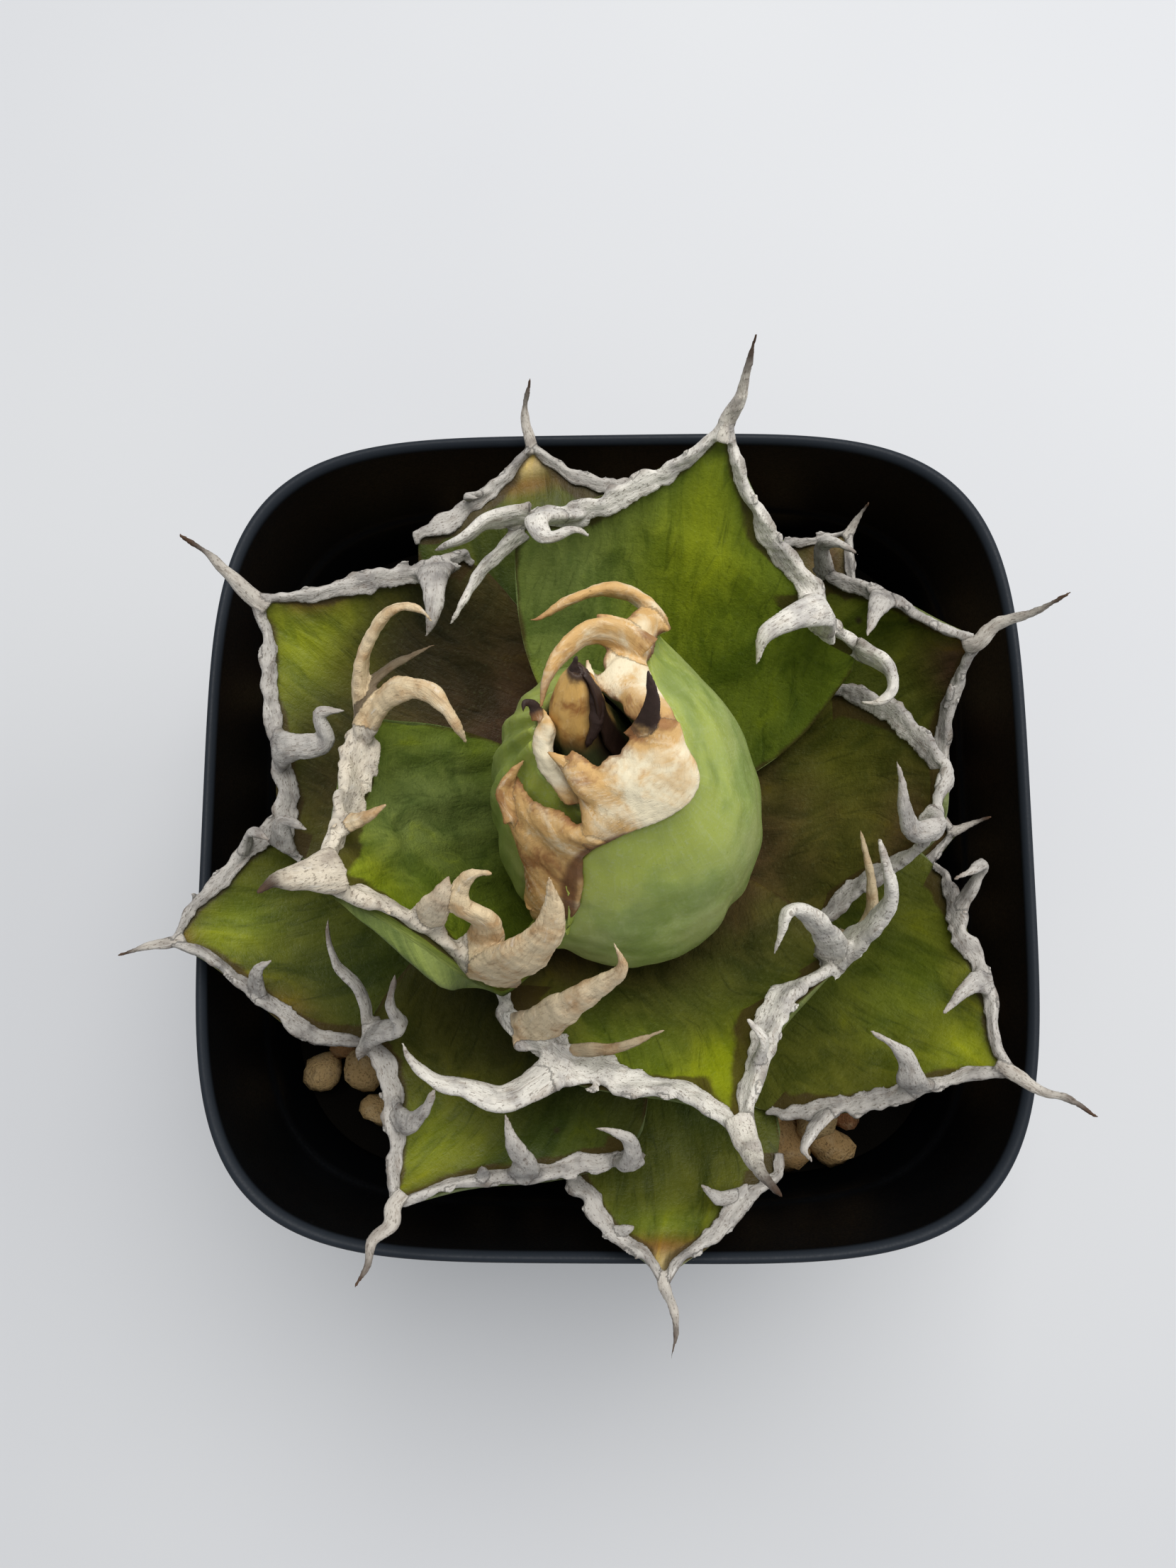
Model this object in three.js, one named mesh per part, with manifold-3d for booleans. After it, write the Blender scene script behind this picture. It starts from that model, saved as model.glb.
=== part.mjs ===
// A potted agave: a tight rosette of broad, thick leaves with wavy horny margins and
// hooked teeth, round a furled bud, on a short stem in a square plastic pot of granules.
// Millimetres, +Z up. The origin is the centre of the pot's flat bottom.

import * as THREE from "three";
import { mergeVertices } from "three/addons/utils/BufferGeometryUtils.js";
import Module from "manifold-3d";

const wasm = await Module();
wasm.setup();

// Driving dimensions of the pot
const potHeight = 105;
const rimHalf = 60;
const lipWidth = 1.5;
const ledgeDepth = 22;
const ledgeHalf = 56.9;
const ledgeStep = 0.7;
const footHalf = 51.5;
const footBevel = 3;
const wall = 1.8;
const floorThick = 2.4;
const squareness = 4.48;
const cornerCrowding = 0.13;
const potSegments = 32;
const drainRadius = 3.2;
const drainCircle = 30;
const drainSides = 10;
const rimBevel = 0.7;
const skirtTop = 2.8;
const skirtFoot = 3.6;
const lipDrop = 0.5;
const ledgeRound = 0.5;

// Driving dimensions of what fills it
const soilDepth = 31;
const granuleSize = 6.4;
const granulePitch = 13;
const stemHoleGap = 0.3;
const granuleScatter = 3.4;
const granuleHeights = 1.2;
const granuleDepth = 0.85;
const granuleHeight = 0.8;
const granuleTurns = 6;
const clearOfStem = 19;
const clearOfPot = 0.4;

// Driving dimensions of the plant, which stands a little off the pot's centre
const plantX = 1;
const plantY = 1;
const gap = 0.32;
const hornTop = 0.55;
const hornUnder = 1.15;
const hornEdge = 0.35;
const hornInner = 0.1;
const ridgeAt = 0.35;
const rootSink = 0.3;
const edgeThick = 1.3;
const thinning = 0.8;
const toothTip = 0.35;
const toothBreadth = 1.6;
const toothSteps = 4;
const toothSides = 4;
const spineTip = 0.4;
const spineBreadth = 1.1;
const spineSteps = 6;
const spineSides = 5;
const bladeColumns = 5;
const bladeRows = 8;
const hornSteps = 6;
const stemSides = 12;
const furledColumns = 15;
const secondColumns = 16;
const furledRows = 6;
const innerSides = 10;

// Differences of place that count as none, and a solid's share in a clash that does
const weldDistance = 1e-3;
const clashVolume = 1e-3;

const UP = new THREE.Vector3(0, 0, 1);

// Finishes
const finish = (color, roughness) => new THREE.MeshStandardMaterial({ color, roughness, metalness: 0 });
const youngGreen = finish(0x8aa866, 0.55);
const leafGreen = finish(0x6d8c35, 0.5);
const oldGreen = finish(0x6a6a33, 0.55);
const horn = finish(0xcfcac2, 0.8);
const driedHorn = finish(0xcfa878, 0.75);
const budAmber = finish(0xa87a40, 0.7);
const stemBrown = finish(0x6b5a3c, 0.9);
const granuleTan = finish(0xb08a5c, 0.95);
const potBlack = finish(0x0c0d10, 0.4);

// Turns a closed three.js geometry into a solid that can be joined and cut.
function solidOf(geometry) {
  const bare = geometry.index ? geometry.toNonIndexed() : geometry.clone();
  bare.deleteAttribute("normal");
  bare.deleteAttribute("uv");
  const merged = mergeVertices(bare, weldDistance);
  const mesh = new wasm.Mesh({
    numProp: 3,
    vertProperties: merged.attributes.position.array,
    triVerts: new Uint32Array(merged.index.array),
  });
  return new wasm.Manifold(mesh);
}

// Turns a solid back into a named mesh.
function meshOf(name, solid, material) {
  const { vertProperties, triVerts } = solid.getMesh();
  const geometry = new THREE.BufferGeometry();
  geometry.setAttribute("position", new THREE.BufferAttribute(vertProperties, 3));
  geometry.setIndex(new THREE.BufferAttribute(triVerts, 1));
  geometry.computeVertexNormals();
  const mesh = new THREE.Mesh(geometry, material);
  mesh.name = name;
  return mesh;
}

// A closed skin over a grid of rings: each ring is a list of points, the first and last
// rings are capped by a fan from their middle.
function ringSolid(rings) {
  const sides = rings[0].length;
  const positions = [];
  const triangle = (a, b, c) => positions.push(...a.toArray(), ...b.toArray(), ...c.toArray());
  const middle = (ring) => ring.reduce((sum, p) => sum.add(p), new THREE.Vector3()).divideScalar(sides);
  for (let k = 0; k + 1 < rings.length; k += 1) {
    for (let j = 0; j < sides; j += 1) {
      const next = (j + 1) % sides;
      triangle(rings[k][j], rings[k][next], rings[k + 1][next]);
      triangle(rings[k][j], rings[k + 1][next], rings[k + 1][j]);
    }
  }
  const first = middle(rings[0]);
  const last = middle(rings[rings.length - 1]);
  for (let j = 0; j < sides; j += 1) {
    const next = (j + 1) % sides;
    triangle(first, rings[0][next], rings[0][j]);
    triangle(last, rings[rings.length - 1][j], rings[rings.length - 1][next]);
  }
  const geometry = new THREE.BufferGeometry();
  geometry.setAttribute("position", new THREE.Float32BufferAttribute(positions, 3));
  const solid = solidOf(geometry);
  return solid.volume() < 0 ? solidOf(turned(geometry)) : solid;
}

// The same triangles, each facing the other way.
function turned(geometry) {
  const p = geometry.attributes.position.array.slice();
  for (let i = 0; i < p.length; i += 9) {
    for (let k = 0; k < 3; k += 1) {
      [p[i + 3 + k], p[i + 6 + k]] = [p[i + 6 + k], p[i + 3 + k]];
    }
  }
  const result = new THREE.BufferGeometry();
  result.setAttribute("position", new THREE.BufferAttribute(p, 3));
  return result;
}

// A sheet with thickness between two faces given as functions of (column, row): each row
// of the grid becomes one ring, out along the upper face and back along the lower one.
function sheetSolid(upper, lower, columns, rows) {
  const rings = [];
  for (let i = 0; i <= rows; i += 1) {
    const there = [];
    const back = [];
    for (let j = 0; j <= columns; j += 1) {
      there.push(upper(j / columns, i / rows));
      back.unshift(lower(j / columns, i / rows));
    }
    rings.push([...there, ...back]);
  }
  return stripSolid(rings, columns);
}

// The skin of a sheet: its ends are ladders of quads instead of fans.
function stripSolid(rings, columns) {
  const sides = rings[0].length;
  const positions = [];
  const triangle = (a, b, c) => positions.push(...a.toArray(), ...b.toArray(), ...c.toArray());
  for (let k = 0; k + 1 < rings.length; k += 1) {
    for (let j = 0; j < sides; j += 1) {
      const next = (j + 1) % sides;
      const flip = j > columns;
      const [a, b, c, d] = [rings[k][j], rings[k][next], rings[k + 1][next], rings[k + 1][j]];
      if (flip) {
        triangle(a, b, d);
        triangle(b, c, d);
      } else {
        triangle(a, b, c);
        triangle(a, c, d);
      }
    }
  }
  for (const [ring, end] of [[rings[0], false], [rings[rings.length - 1], true]]) {
    for (let j = 0; j < columns; j += 1) {
      const [a, b, c, d] = [ring[j], ring[j + 1], ring[sides - 2 - j], ring[sides - 1 - j]];
      if (end) {
        triangle(a, b, c);
        triangle(a, c, d);
      } else {
        triangle(a, c, b);
        triangle(a, d, c);
      }
    }
  }
  const geometry = new THREE.BufferGeometry();
  geometry.setAttribute("position", new THREE.Float32BufferAttribute(positions, 3));
  const solid = solidOf(geometry);
  return solid.volume() < 0 ? solidOf(turned(geometry)) : solid;
}

const toothForm = { tip: toothTip, broad: toothBreadth, sides: toothSides, steps: toothSteps, grow: 0 };
const spineForm = { tip: spineTip, broad: spineBreadth, sides: spineSides, steps: spineSteps };

// A curved, tapered horn along points: `wide` is the direction in which its root is broad.
function hornSolid(points, form) {
  const { root, tip, broad, sides, steps, wide, grow } = { ...toothForm, ...form };
  const path = new THREE.CatmullRomCurve3(points);
  const rings = [];
  const tangent = path.getTangentAt(0);
  let side = wide.clone().addScaledVector(tangent, -wide.dot(tangent)).normalize();
  for (let k = 0; k <= steps; k += 1) {
    const along = k / steps;
    const centre = path.getPointAt(along);
    const forward = path.getTangentAt(along);
    side = side.clone().addScaledVector(forward, -side.dot(forward)).normalize();
    const across = forward.clone().cross(side);
    const radius = tip + (root - tip) * (1 - along) ** thinning + grow;
    const flat = 1 + (broad - 1) * (1 - along) ** 2;
    const ring = [];
    for (let j = 0; j < sides; j += 1) {
      const angle = (2 * Math.PI * j) / sides;
      ring.push(
        centre
          .clone()
          .addScaledVector(side, radius * flat * Math.cos(angle))
          .addScaledVector(across, radius * Math.sin(angle)),
      );
    }
    rings.push(ring);
  }
  return ringSolid(rings);
}

const unite = (solids) => solids.reduce((whole, piece) => whole.add(piece));

// The biggest piece of a solid that a cut has split.
function largest(solid) {
  const pieces = solid.decompose();
  return pieces.reduce((best, piece) => (piece.volume() > best.volume() ? piece : best));
}

// The leaves, youngest first, each in its own frame: [out from the stem, to the left, up
// from the rim's plane], turned by `azimuth` about the plant's axis. `low` runs along a
// margin from the stem to the leaf's widest corner, and `top` from that corner to the apex.
const leaves = [
  {
    name: "leaf_01",
    azimuth: 193,
    young: true,
    border: 3.7,
    sag: 5,
    thick: 5.5,
    left: {
      low: [[5, 8, -4], [12, 15, 6], [16, 18, 14], [19, 19, 21]],
      top: [[20, 17.5, 28], [22, 14, 33.5], [26, 9.5, 38], [30, 6.5, 41], [33, 3.5, 44]],
    },
    right: {
      low: [[5, -8, -4], [14, -14, 6], [20, -16, 16], [25, -16, 26]],
      top: [[28, -16, 33], [30, -13, 34], [31, -9, 36], [32, -2, 40.5], [33, 2, 44]],
    },
    hornFrom: { left: 0.45, right: 0.48 },
    spine: [[35, 3, 47], [37, 3, 49], [38.5, 4, 50.5]],
    spineRoot: 2,
    teeth: [
      {
        side: "right",
        root: 1.5,
        path: [[28, -16, 33], [25, -21, 39], [20, -24, 43.5], [17, -23, 44.5], [16, -21.5, 43.5]],
      },
      {
        side: "right",
        root: 1.5,
        path: [[28, -15, 34], [22, -16, 39.5], [18, -14, 42.5], [16, -10, 42.5], [15.5, -8, 40.5]],
      },
      {
        side: "right",
        root: 0.8,
        path: [[29, -14, 34], [27, -16.5, 35.5], [24, -19, 36.5], [17, -21, 37]],
      },
      { side: "right", root: 1, path: [[31, -3, 39], [27, -2.5, 42.5], [25, -3, 43.5]] },
      { side: "left", root: 1.2, path: [[24.5, 11, 37], [22, 8, 41], [20, 6, 43.5]] },
      {
        side: "left",
        root: 2.2,
        path: [[20, 17, 28], [15, 16, 38], [11, 14, 43.5], [10, 12, 46], [9.5, 9, 49]],
      },
      {
        side: "left",
        root: 1.4,
        path: [[20.5, 16.5, 30], [18, 11.5, 37], [20, 9, 40], [19, 7, 42], [17, 6.5, 43.5], [15.5, 7, 44]],
      },
    ],
  },
  {
    name: "leaf_02",
    azimuth: 75,
    border: 3,
    sag: 5,
    thick: 6,
    left: {
      low: [[5, 8, -5], [13, 14, 4], [20, 19, 9], [28, 22, 15]],
      top: [[34, 22.5, 21], [37, 14, 24], [41, 8, 26], [45, 2, 29], [48, -0.3, 31]],
    },
    right: {
      low: [[5, -8, -6], [12, -17, -1], [18, -22, 4], [24, -24.5, 11]],
      top: [[28, -26, 18], [30, -21, 20], [34, -18, 21], [38, -11, 24], [43, -5, 28], [48, -2, 31]],
    },
    hornFrom: { left: 0.47, right: 0.47 },
    spine: [[50, -2, 34], [52, -2, 36.5], [55, -2, 40]],
    spineRoot: 1.7,
    teeth: [
      {
        side: "left",
        root: 1.3,
        path: [[35, 17, 23], [31.5, 19, 26.5], [29, 17, 28.5], [30.5, 13.5, 29.5], [30.5, 12, 28.5]],
      },
      { side: "left", root: 1.6, path: [[34, 22, 21], [31, 26, 23], [28, 28, 23.5], [26, 32, 21]] },
      { side: "left", root: 1, path: [[28, 22, 15], [26, 26, 17], [21, 27, 18], [18, 28, 17]] },
      {
        side: "right",
        root: 1.8,
        path: [[31, -20, 21], [29, -18, 26.5], [26, -14.5, 29.5], [23, -12, 30], [20, -12, 28]],
      },
      {
        side: "right",
        root: 1.4,
        path: [[28, -26, 18], [26, -29, 19.5], [23, -30, 20], [21, -28.5, 20.5], [20.5, -26.5, 20.5]],
      },
    ],
  },
  {
    name: "leaf_03",
    azimuth: -69,
    border: 4.2,
    sag: 4.5,
    thick: 5.5,
    left: {
      low: [[5, 8, -8], [12, 13, -3], [18, 17, 3], [23, 20, 8]],
      top: [[28, 21, 14], [29.5, 15, 17], [34, 8, 20], [37, 4, 23], [42, -0.3, 26.5]],
    },
    right: {
      low: [[5, -8, -8], [11, -18, 2], [17, -24.5, 9.5], [23, -24, 13.5]],
      top: [[29, -21, 17], [33, -14, 20], [36, -7, 22], [40, -3, 25], [42, -1.5, 26.5]],
    },
    hornFrom: { left: 0.47, right: 0.3 },
    spine: [[44, -1, 30], [45, -1, 34], [47.5, 0, 38.5]],
    spineRoot: 1.8,
    teeth: [
      {
        side: "left",
        root: 1.6,
        path: [[28, 20, 14], [24, 17.5, 23], [20.5, 15, 29], [20, 13, 31], [22, 11.5, 30.5], [24, 10, 29]],
      },
      {
        side: "left",
        root: 1.6,
        path: [[28, 21, 14], [26, 23, 20], [23, 26, 26], [19, 26, 30], [16, 26, 32]],
      },
      {
        side: "left",
        root: 1,
        path: [[28, 21, 13], [25, 24.5, 15.5], [21, 26, 18.5], [14, 27, 20.5]],
      },
      { side: "left", root: 1.1, path: [[36, 5, 22], [33, 5.5, 25], [30, 4.5, 26]] },
      {
        side: "right",
        root: 1.5,
        path: [[30, -20, 17.5], [29, -27, 17.5], [26, -31, 17.5],
          [24, -34, 18], [20, -36, 19], [18, -36, 20]],
      },
      {
        side: "right",
        root: 1.9,
        path: [[23, -23, 14], [21, -15, 24], [20, -10, 29], [19, -7, 32.5], [16, -7, 34]],
      },
      {
        side: "right",
        root: 1,
        path: [[27, -21.5, 15.5], [27, -15, 19.5], [28, -11, 21.5], [28, -5, 22.5]],
      },
    ],
  },
  {
    name: "leaf_04",
    azimuth: 150,
    border: 2.8,
    sag: 4,
    thick: 5.5,
    left: {
      low: [[5, 7, -10], [15, 16, -4], [24, 22, 0], [32, 27, 3]],
      top: [[39, 28, 6], [43, 21, 9], [47, 15, 11], [51, 10, 12.5], [54, 4, 14], [57, 0.3, 16]],
    },
    right: {
      low: [[5, -7, -10], [16, -15, -5], [25, -19, -1], [32, -21, 4]],
      top: [[37.5, -22, 9], [41, -17, 12.5], [45.5, -12.5, 14.5], [50, -7, 15], [57, -1, 16]],
    },
    hornFrom: { left: 0.46, right: 0.47 },
    spine: [[60, -1, 18], [64, -2, 20.5], [67, -2, 23]],
    spineRoot: 1.6,
    teeth: [
      {
        side: "right",
        root: 1.5,
        path: [[40, -18, 12], [36.5, -14, 17.5], [34, -10, 19], [33.5, -7, 17.5]],
      },
      {
        side: "left",
        root: 1.5,
        path: [[46, 16, 11], [42, 14.5, 15.5], [38, 11.5, 17], [40, 9, 19], [37, 7, 20]],
      },
      { side: "left", root: 1.2, path: [[39, 28, 6], [39, 23.5, 10.5], [35.5, 23, 11]] },
    ],
  },
  {
    name: "leaf_05",
    azimuth: -4,
    border: 3.3,
    sag: 3.5,
    thick: 5,
    left: {
      low: [[5, 7, -12], [13, 14, -6], [20, 18, -1], [26, 20, 3]],
      top: [[30, 21, 6], [35, 18, 12], [38.5, 14, 16], [41, 9, 19], [39.5, 4, 20], [39, 0.7, 22]],
    },
    right: {
      low: [[5, -7, -12], [13, -12, -8], [20, -14, -4], [25, -15, 0]],
      top: [[28, -14, 4], [33, -9, 10], [36.5, -5, 16], [39, -0.7, 22]],
    },
    hornFrom: { left: 0.47, right: 0.5 },
    spine: [[38.5, -1, 25], [35, -2, 29], [33, 0, 32.5], [32, 3, 35], [31, 5, 36.5]],
    spineRoot: 1.7,
    teeth: [],
  },
  {
    name: "leaf_06",
    azimuth: -119,
    border: 2.8,
    sag: 4,
    thick: 5,
    left: {
      low: [[5, 7, -14], [17, 16, -10], [28, 20.5, -5], [35, 23, 1]],
      top: [[40, 23.5, 7], [43.5, 20, 8], [47.5, 14, 10], [52, 6, 12], [55, 2.5, 13], [58, -0.3, 14]],
    },
    right: {
      low: [[5, -7, -14], [17, -13, -10], [28, -16, -5], [37, -17, 1]],
      top: [[43, -16, 8], [47, -11, 8.5], [50, -8, 10], [54, -5, 11], [58, -1.5, 14]],
    },
    hornFrom: { left: 0.46, right: 0.48 },
    spine: [[60, 0, 15], [62.5, -1, 16], [65, 0, 17], [67.5, 0, 18.5]],
    spineRoot: 1.6,
    teeth: [
      {
        side: "right",
        root: 1.2,
        path: [[50, -8, 10], [48, -4, 15], [45, -3, 18], [42, -3, 20.5]],
      },
      {
        side: "right",
        root: 1.4,
        path: [[43, -16, 8], [40, -13, 14], [38, -11, 16.5], [36, -13, 19.5], [32, -14, 22.5]],
      },
      {
        side: "right",
        root: 1.1,
        path: [[42.5, -16, 7.5], [38.5, -18, 9.5], [37, -20, 10.5],
          [36, -23, 11.5], [33, -26, 12.5], [31, -27, 13]],
      },
      {
        side: "left",
        root: 1.5,
        path: [[48.5, 12, 10.5], [45, 11, 16], [43, 8.5, 19.5], [40, 6, 21.5]],
      },
      { side: "left", root: 0.9, path: [[51, 8, 11.5], [48, 6.5, 16]] },
      {
        side: "left",
        root: 1.3,
        path: [[40.5, 23, 7.5], [39, 23, 13], [36, 21, 17.5], [36, 18, 19.5], [36.5, 16.5, 20]],
      },
    ],
  },
  {
    name: "leaf_07",
    azimuth: 103,
    border: 2.5,
    sag: 3,
    thick: 4.5,
    left: {
      low: [[5, 7, -16], [18, 14, -12], [30, 18, -6], [40, 20, 0]],
      top: [[48, 20, 4], [51, 13, 2.5], [54, 6, 2.5], [57, 0.7, 3.5]],
    },
    right: {
      low: [[5, -7, -16], [18, -13, -12], [30, -16, -6], [40, -17, 0]],
      top: [[47, -16, 4], [51, -8, 2.5], [54, -4, 2.5], [57, -0.7, 3.5]],
    },
    hornFrom: { left: 0.48, right: 0.48 },
    spine: [[61, 0, 5], [63, -1, 7], [64.5, -2, 9]],
    spineRoot: 1.3,
    teeth: [{ side: "left", root: 0.9, path: [[53, 9, 2.5], [51, 11, 5], [49.5, 9, 7]] }],
  },
  {
    name: "leaf_08",
    azimuth: -34,
    border: 2.8,
    sag: 3.5,
    thick: 5,
    left: {
      low: [[5, 7, -18], [18, 14, -14], [29, 19, -9], [37, 21, -5]],
      top: [[43, 20.5, -1], [48, 14.5, 5], [51.5, 12, 6], [55, 8, 8], [58.5, 2.5, 10], [61, 0.6, 11]],
    },
    right: {
      low: [[5, -7, -18], [18, -15, -14], [29, -21, -9], [37, -23, -5]],
      top: [[42, -22.5, -1.5], [48, -17, 3], [52, -12, 6], [56, -6, 8], [58.5, -3, 9.5], [61, -0.6, 11]],
    },
    hornFrom: { left: 0.47, right: 0.47 },
    spine: [[65, 0, 12], [68, 1, 13], [72, 1, 13.5]],
    spineRoot: 1.4,
    teeth: [
      {
        side: "right",
        root: 1.4,
        path: [[54, -9, 7], [50.5, -8, 12], [47, -6, 15.5], [42, -6, 16.5]],
      },
      { side: "left", root: 1.2, path: [[54, 9.5, 7.5], [50.5, 6.5, 12], [49, 1, 14]] },
      {
        side: "left",
        root: 1.1,
        path: [[47, 16, 4], [45, 22, 6.5], [43, 19, 9.5], [42, 17.5, 10]],
      },
      {
        side: "right",
        root: 1.2,
        path: [[47, -18, 2], [45, -21.5, 5], [45, -23.5, 6.5], [46.5, -24, 8]],
      },
    ],
  },
  {
    name: "leaf_09",
    azimuth: -163,
    border: 2.5,
    sag: 3,
    thick: 4.5,
    left: {
      low: [[5, 7, -20], [18, 14, -17], [30, 18, -11], [38, 20, -6]],
      top: [[45, 20, -2.5], [51, 17, 1], [54, 13, 3], [57, 8, 4], [60, 2.5, 6], [64, -0.8, 7]],
    },
    right: {
      low: [[5, -7, -20], [18, -13, -17], [30, -16, -11], [39, -17, -5]],
      top: [[46, -17, -0.5], [52, -13, 3], [57, -9, 5], [61, -6, 6], [64, -2.4, 7]],
    },
    hornFrom: { left: 0.47, right: 0.47 },
    spine: [[67, -2, 7], [71.5, -2, 7.5]],
    spineRoot: 1.2,
    teeth: [
      { side: "left", root: 1.2, path: [[56, 9, 4], [53, 5.5, 8.5], [50.5, 5, 9.5]] },
      { side: "right", root: 1.2, path: [[53, -12, 3.5], [49.5, -13, 7], [47, -11, 8.5]] },
    ],
  },
  {
    name: "leaf_10",
    azimuth: 25,
    border: 2.5,
    sag: 3,
    thick: 4.5,
    left: {
      low: [[5, 7, -22], [18, 14, -18], [30, 19, -12], [38, 21, -5]],
      top: [[43, 21, 1], [47, 15, 5], [49, 8, 9], [51, 4, 11], [53, 0.6, 13]],
    },
    right: {
      low: [[5, -7, -22], [18, -13, -18], [30, -16, -12], [39, -16, -5]],
      top: [[45, -15, 0], [47.5, -9, 3], [50, -5, 6.5], [51.5, -2, 10], [53, -0.6, 13]],
    },
    hornFrom: { left: 0.47, right: 0.47 },
    spine: [[56, 1, 15], [60, 0, 18], [64, 0, 21]],
    spineRoot: 1.4,
    teeth: [
      { side: "left", root: 1.4, path: [[48, 13, 6], [44, 10.5, 11.5], [40, 7, 14]] },
      { side: "left", root: 1.2, path: [[43, 21, 1], [43, 23, 6], [44, 22, 8], [46, 19, 8.5]] },
      { side: "right", root: 0.8, path: [[50, -6, 5], [49, -3, 8.5]] },
    ],
  },
  {
    name: "leaf_11",
    azimuth: -85,
    border: 2.5,
    sag: 1.6,
    thick: 3.6,
    left: {
      low: [[5, 6, -22], [20, 13, -18], [34, 17, -10], [44, 18.5, -4]],
      top: [[51, 18, -0.5], [54.5, 12, 3.5], [57.5, 8, 5], [59.5, 3, 6.5], [61.5, 0.6, 7.5]],
    },
    right: {
      low: [[5, -6, -22], [20, -12, -18], [33, -14, -10], [42, -14.5, -4]],
      top: [[48, -13, -1], [52.5, -10, 2], [55.5, -8, 3.5], [58.5, -3, 6], [61.5, -0.6, 7.5]],
    },
    hornFrom: { left: 0.47, right: 0.47 },
    spine: [[65, 1, 6.5], [67.5, 1, 7.5], [70.5, 0, 9]],
    spineRoot: 1.2,
    teeth: [
      { side: "left", root: 1.1, path: [[55, 12, 0.5], [52, 8.5, 5], [49.5, 6, 8]] },
      { side: "right", root: 0.9, path: [[57, -6, 2], [54.5, -3, 6]] },
    ],
  },
  {
    name: "leaf_12",
    azimuth: -2.5,
    border: 2,
    sag: 2,
    thick: 3.5,
    left: {
      low: [[5, 6, -22.5], [19, 10, -19], [32, 13, -13]],
      top: [[40, 13, -9], [45, 7, -7], [49, 1.6, -5]],
    },
    right: {
      low: [[5, -6, -22.5], [19, -10, -19], [32, -13, -13]],
      top: [[40, -12, -9], [45, -6, -7], [49, 0.4, -5]],
    },
    hornFrom: { left: 0.47, right: 0.47 },
    spine: [[51, 2, -3.5], [53.5, 3, -1.5]],
    spineRoot: 1.1,
    teeth: [],
  },
  {
    name: "leaf_13",
    azimuth: 51,
    border: 2,
    sag: 2,
    thick: 3.5,
    left: {
      low: [[5, 6, -23], [20, 11, -19], [34, 14, -13]],
      top: [[45, 14, -8], [51, 8, -7], [57, 1.4, -5]],
    },
    right: {
      low: [[5, -6, -23], [20, -11, -19], [34, -13, -13]],
      top: [[45, -13, -8.5], [51, -6, -7], [57, 0.2, -5]],
    },
    hornFrom: { left: 0.47, right: 0.47 },
    spine: [[59, 1, -3.5], [61, 1, -1]],
    spineRoot: 1.1,
    teeth: [],
  },
];

// A margin as a function from 0 at the stem, over 0.5 at the widest corner, to 1 at the apex.
function margin({ low, top }, place) {
  const lower = new THREE.CatmullRomCurve3([...low, top[0]].map(place));
  const upper = new THREE.CatmullRomCurve3(top.map(place));
  return (t) => {
    if (t <= 0.5) return lower.getPointAt(Math.max(0, 2 * t));
    return upper.getPointAt(Math.min(1, 2 * t - 1));
  };
}

// The leaf's surfaces: across it, u runs from -1 at the right margin to 1 at the left one.
function leafShape(leaf) {
  const turn = THREE.MathUtils.degToRad(leaf.azimuth);
  const place = (p) => new THREE.Vector3(...p).applyAxisAngle(UP, turn);
  const left = margin(leaf.left, place);
  const right = margin(leaf.right, place);
  const centre = (t) => left(t).add(right(t)).multiplyScalar(0.5);
  const half = (t) => left(t).sub(right(t)).multiplyScalar(0.5);
  const up = (t) => {
    const along = centre(Math.min(1, t + 0.04)).sub(centre(Math.max(0, t - 0.04)));
    return along.cross(half(t)).normalize();
  };
  const face = (u, t) => {
    const dip = leaf.sag * Math.sqrt(Math.max(0, 1 - t)) * (1 - u * u);
    return centre(t).addScaledVector(half(t), u).addScaledVector(up(t), -dip);
  };
  const normal = (u, t) => {
    const e = 0.03;
    const along = face(u, Math.min(1, t + e)).sub(face(u, Math.max(0, t - e)));
    const across = face(u + e, t).sub(face(u - e, t));
    return along.cross(across).normalize();
  };
  const thick = (u, t) => {
    return edgeThick + leaf.thick * (1 - t) ** thinning * Math.max(0, 1 - u * u) ** thinning;
  };
  return { place, left, right, centre, half, face, normal, thick };
}

// The green blade stops short of the horny strips, which follow the same surface.
function bladeSolid(leaf, shape, grow) {
  const reach = leaf.border + gap;
  const inset = (side, t) => {
    const start = leaf.hornFrom[side] - 0.02;
    return reach * THREE.MathUtils.clamp((t - start + 0.07) / 0.07, 0, 1);
  };
  let end = 1;
  while (shape.half(end).length() < reach + 1) end -= 0.005;
  const spot = (j, i) => {
    const t = end * i;
    const half = shape.half(t).length();
    const from = -1 + (inset("right", t) - grow) / half;
    const to = 1 - (inset("left", t) - grow) / half;
    return [from + (to - from) * j, t];
  };
  const upper = (j, i) => {
    const [u, t] = spot(j, i);
    return shape.face(u, t).addScaledVector(shape.normal(u, t), grow);
  };
  const lower = (j, i) => {
    const [u, t] = spot(j, i);
    return shape.face(u, t).addScaledVector(shape.normal(u, t), -shape.thick(u, t) - grow);
  };
  return sheetSolid(upper, lower, bladeColumns, bladeRows);
}

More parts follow.
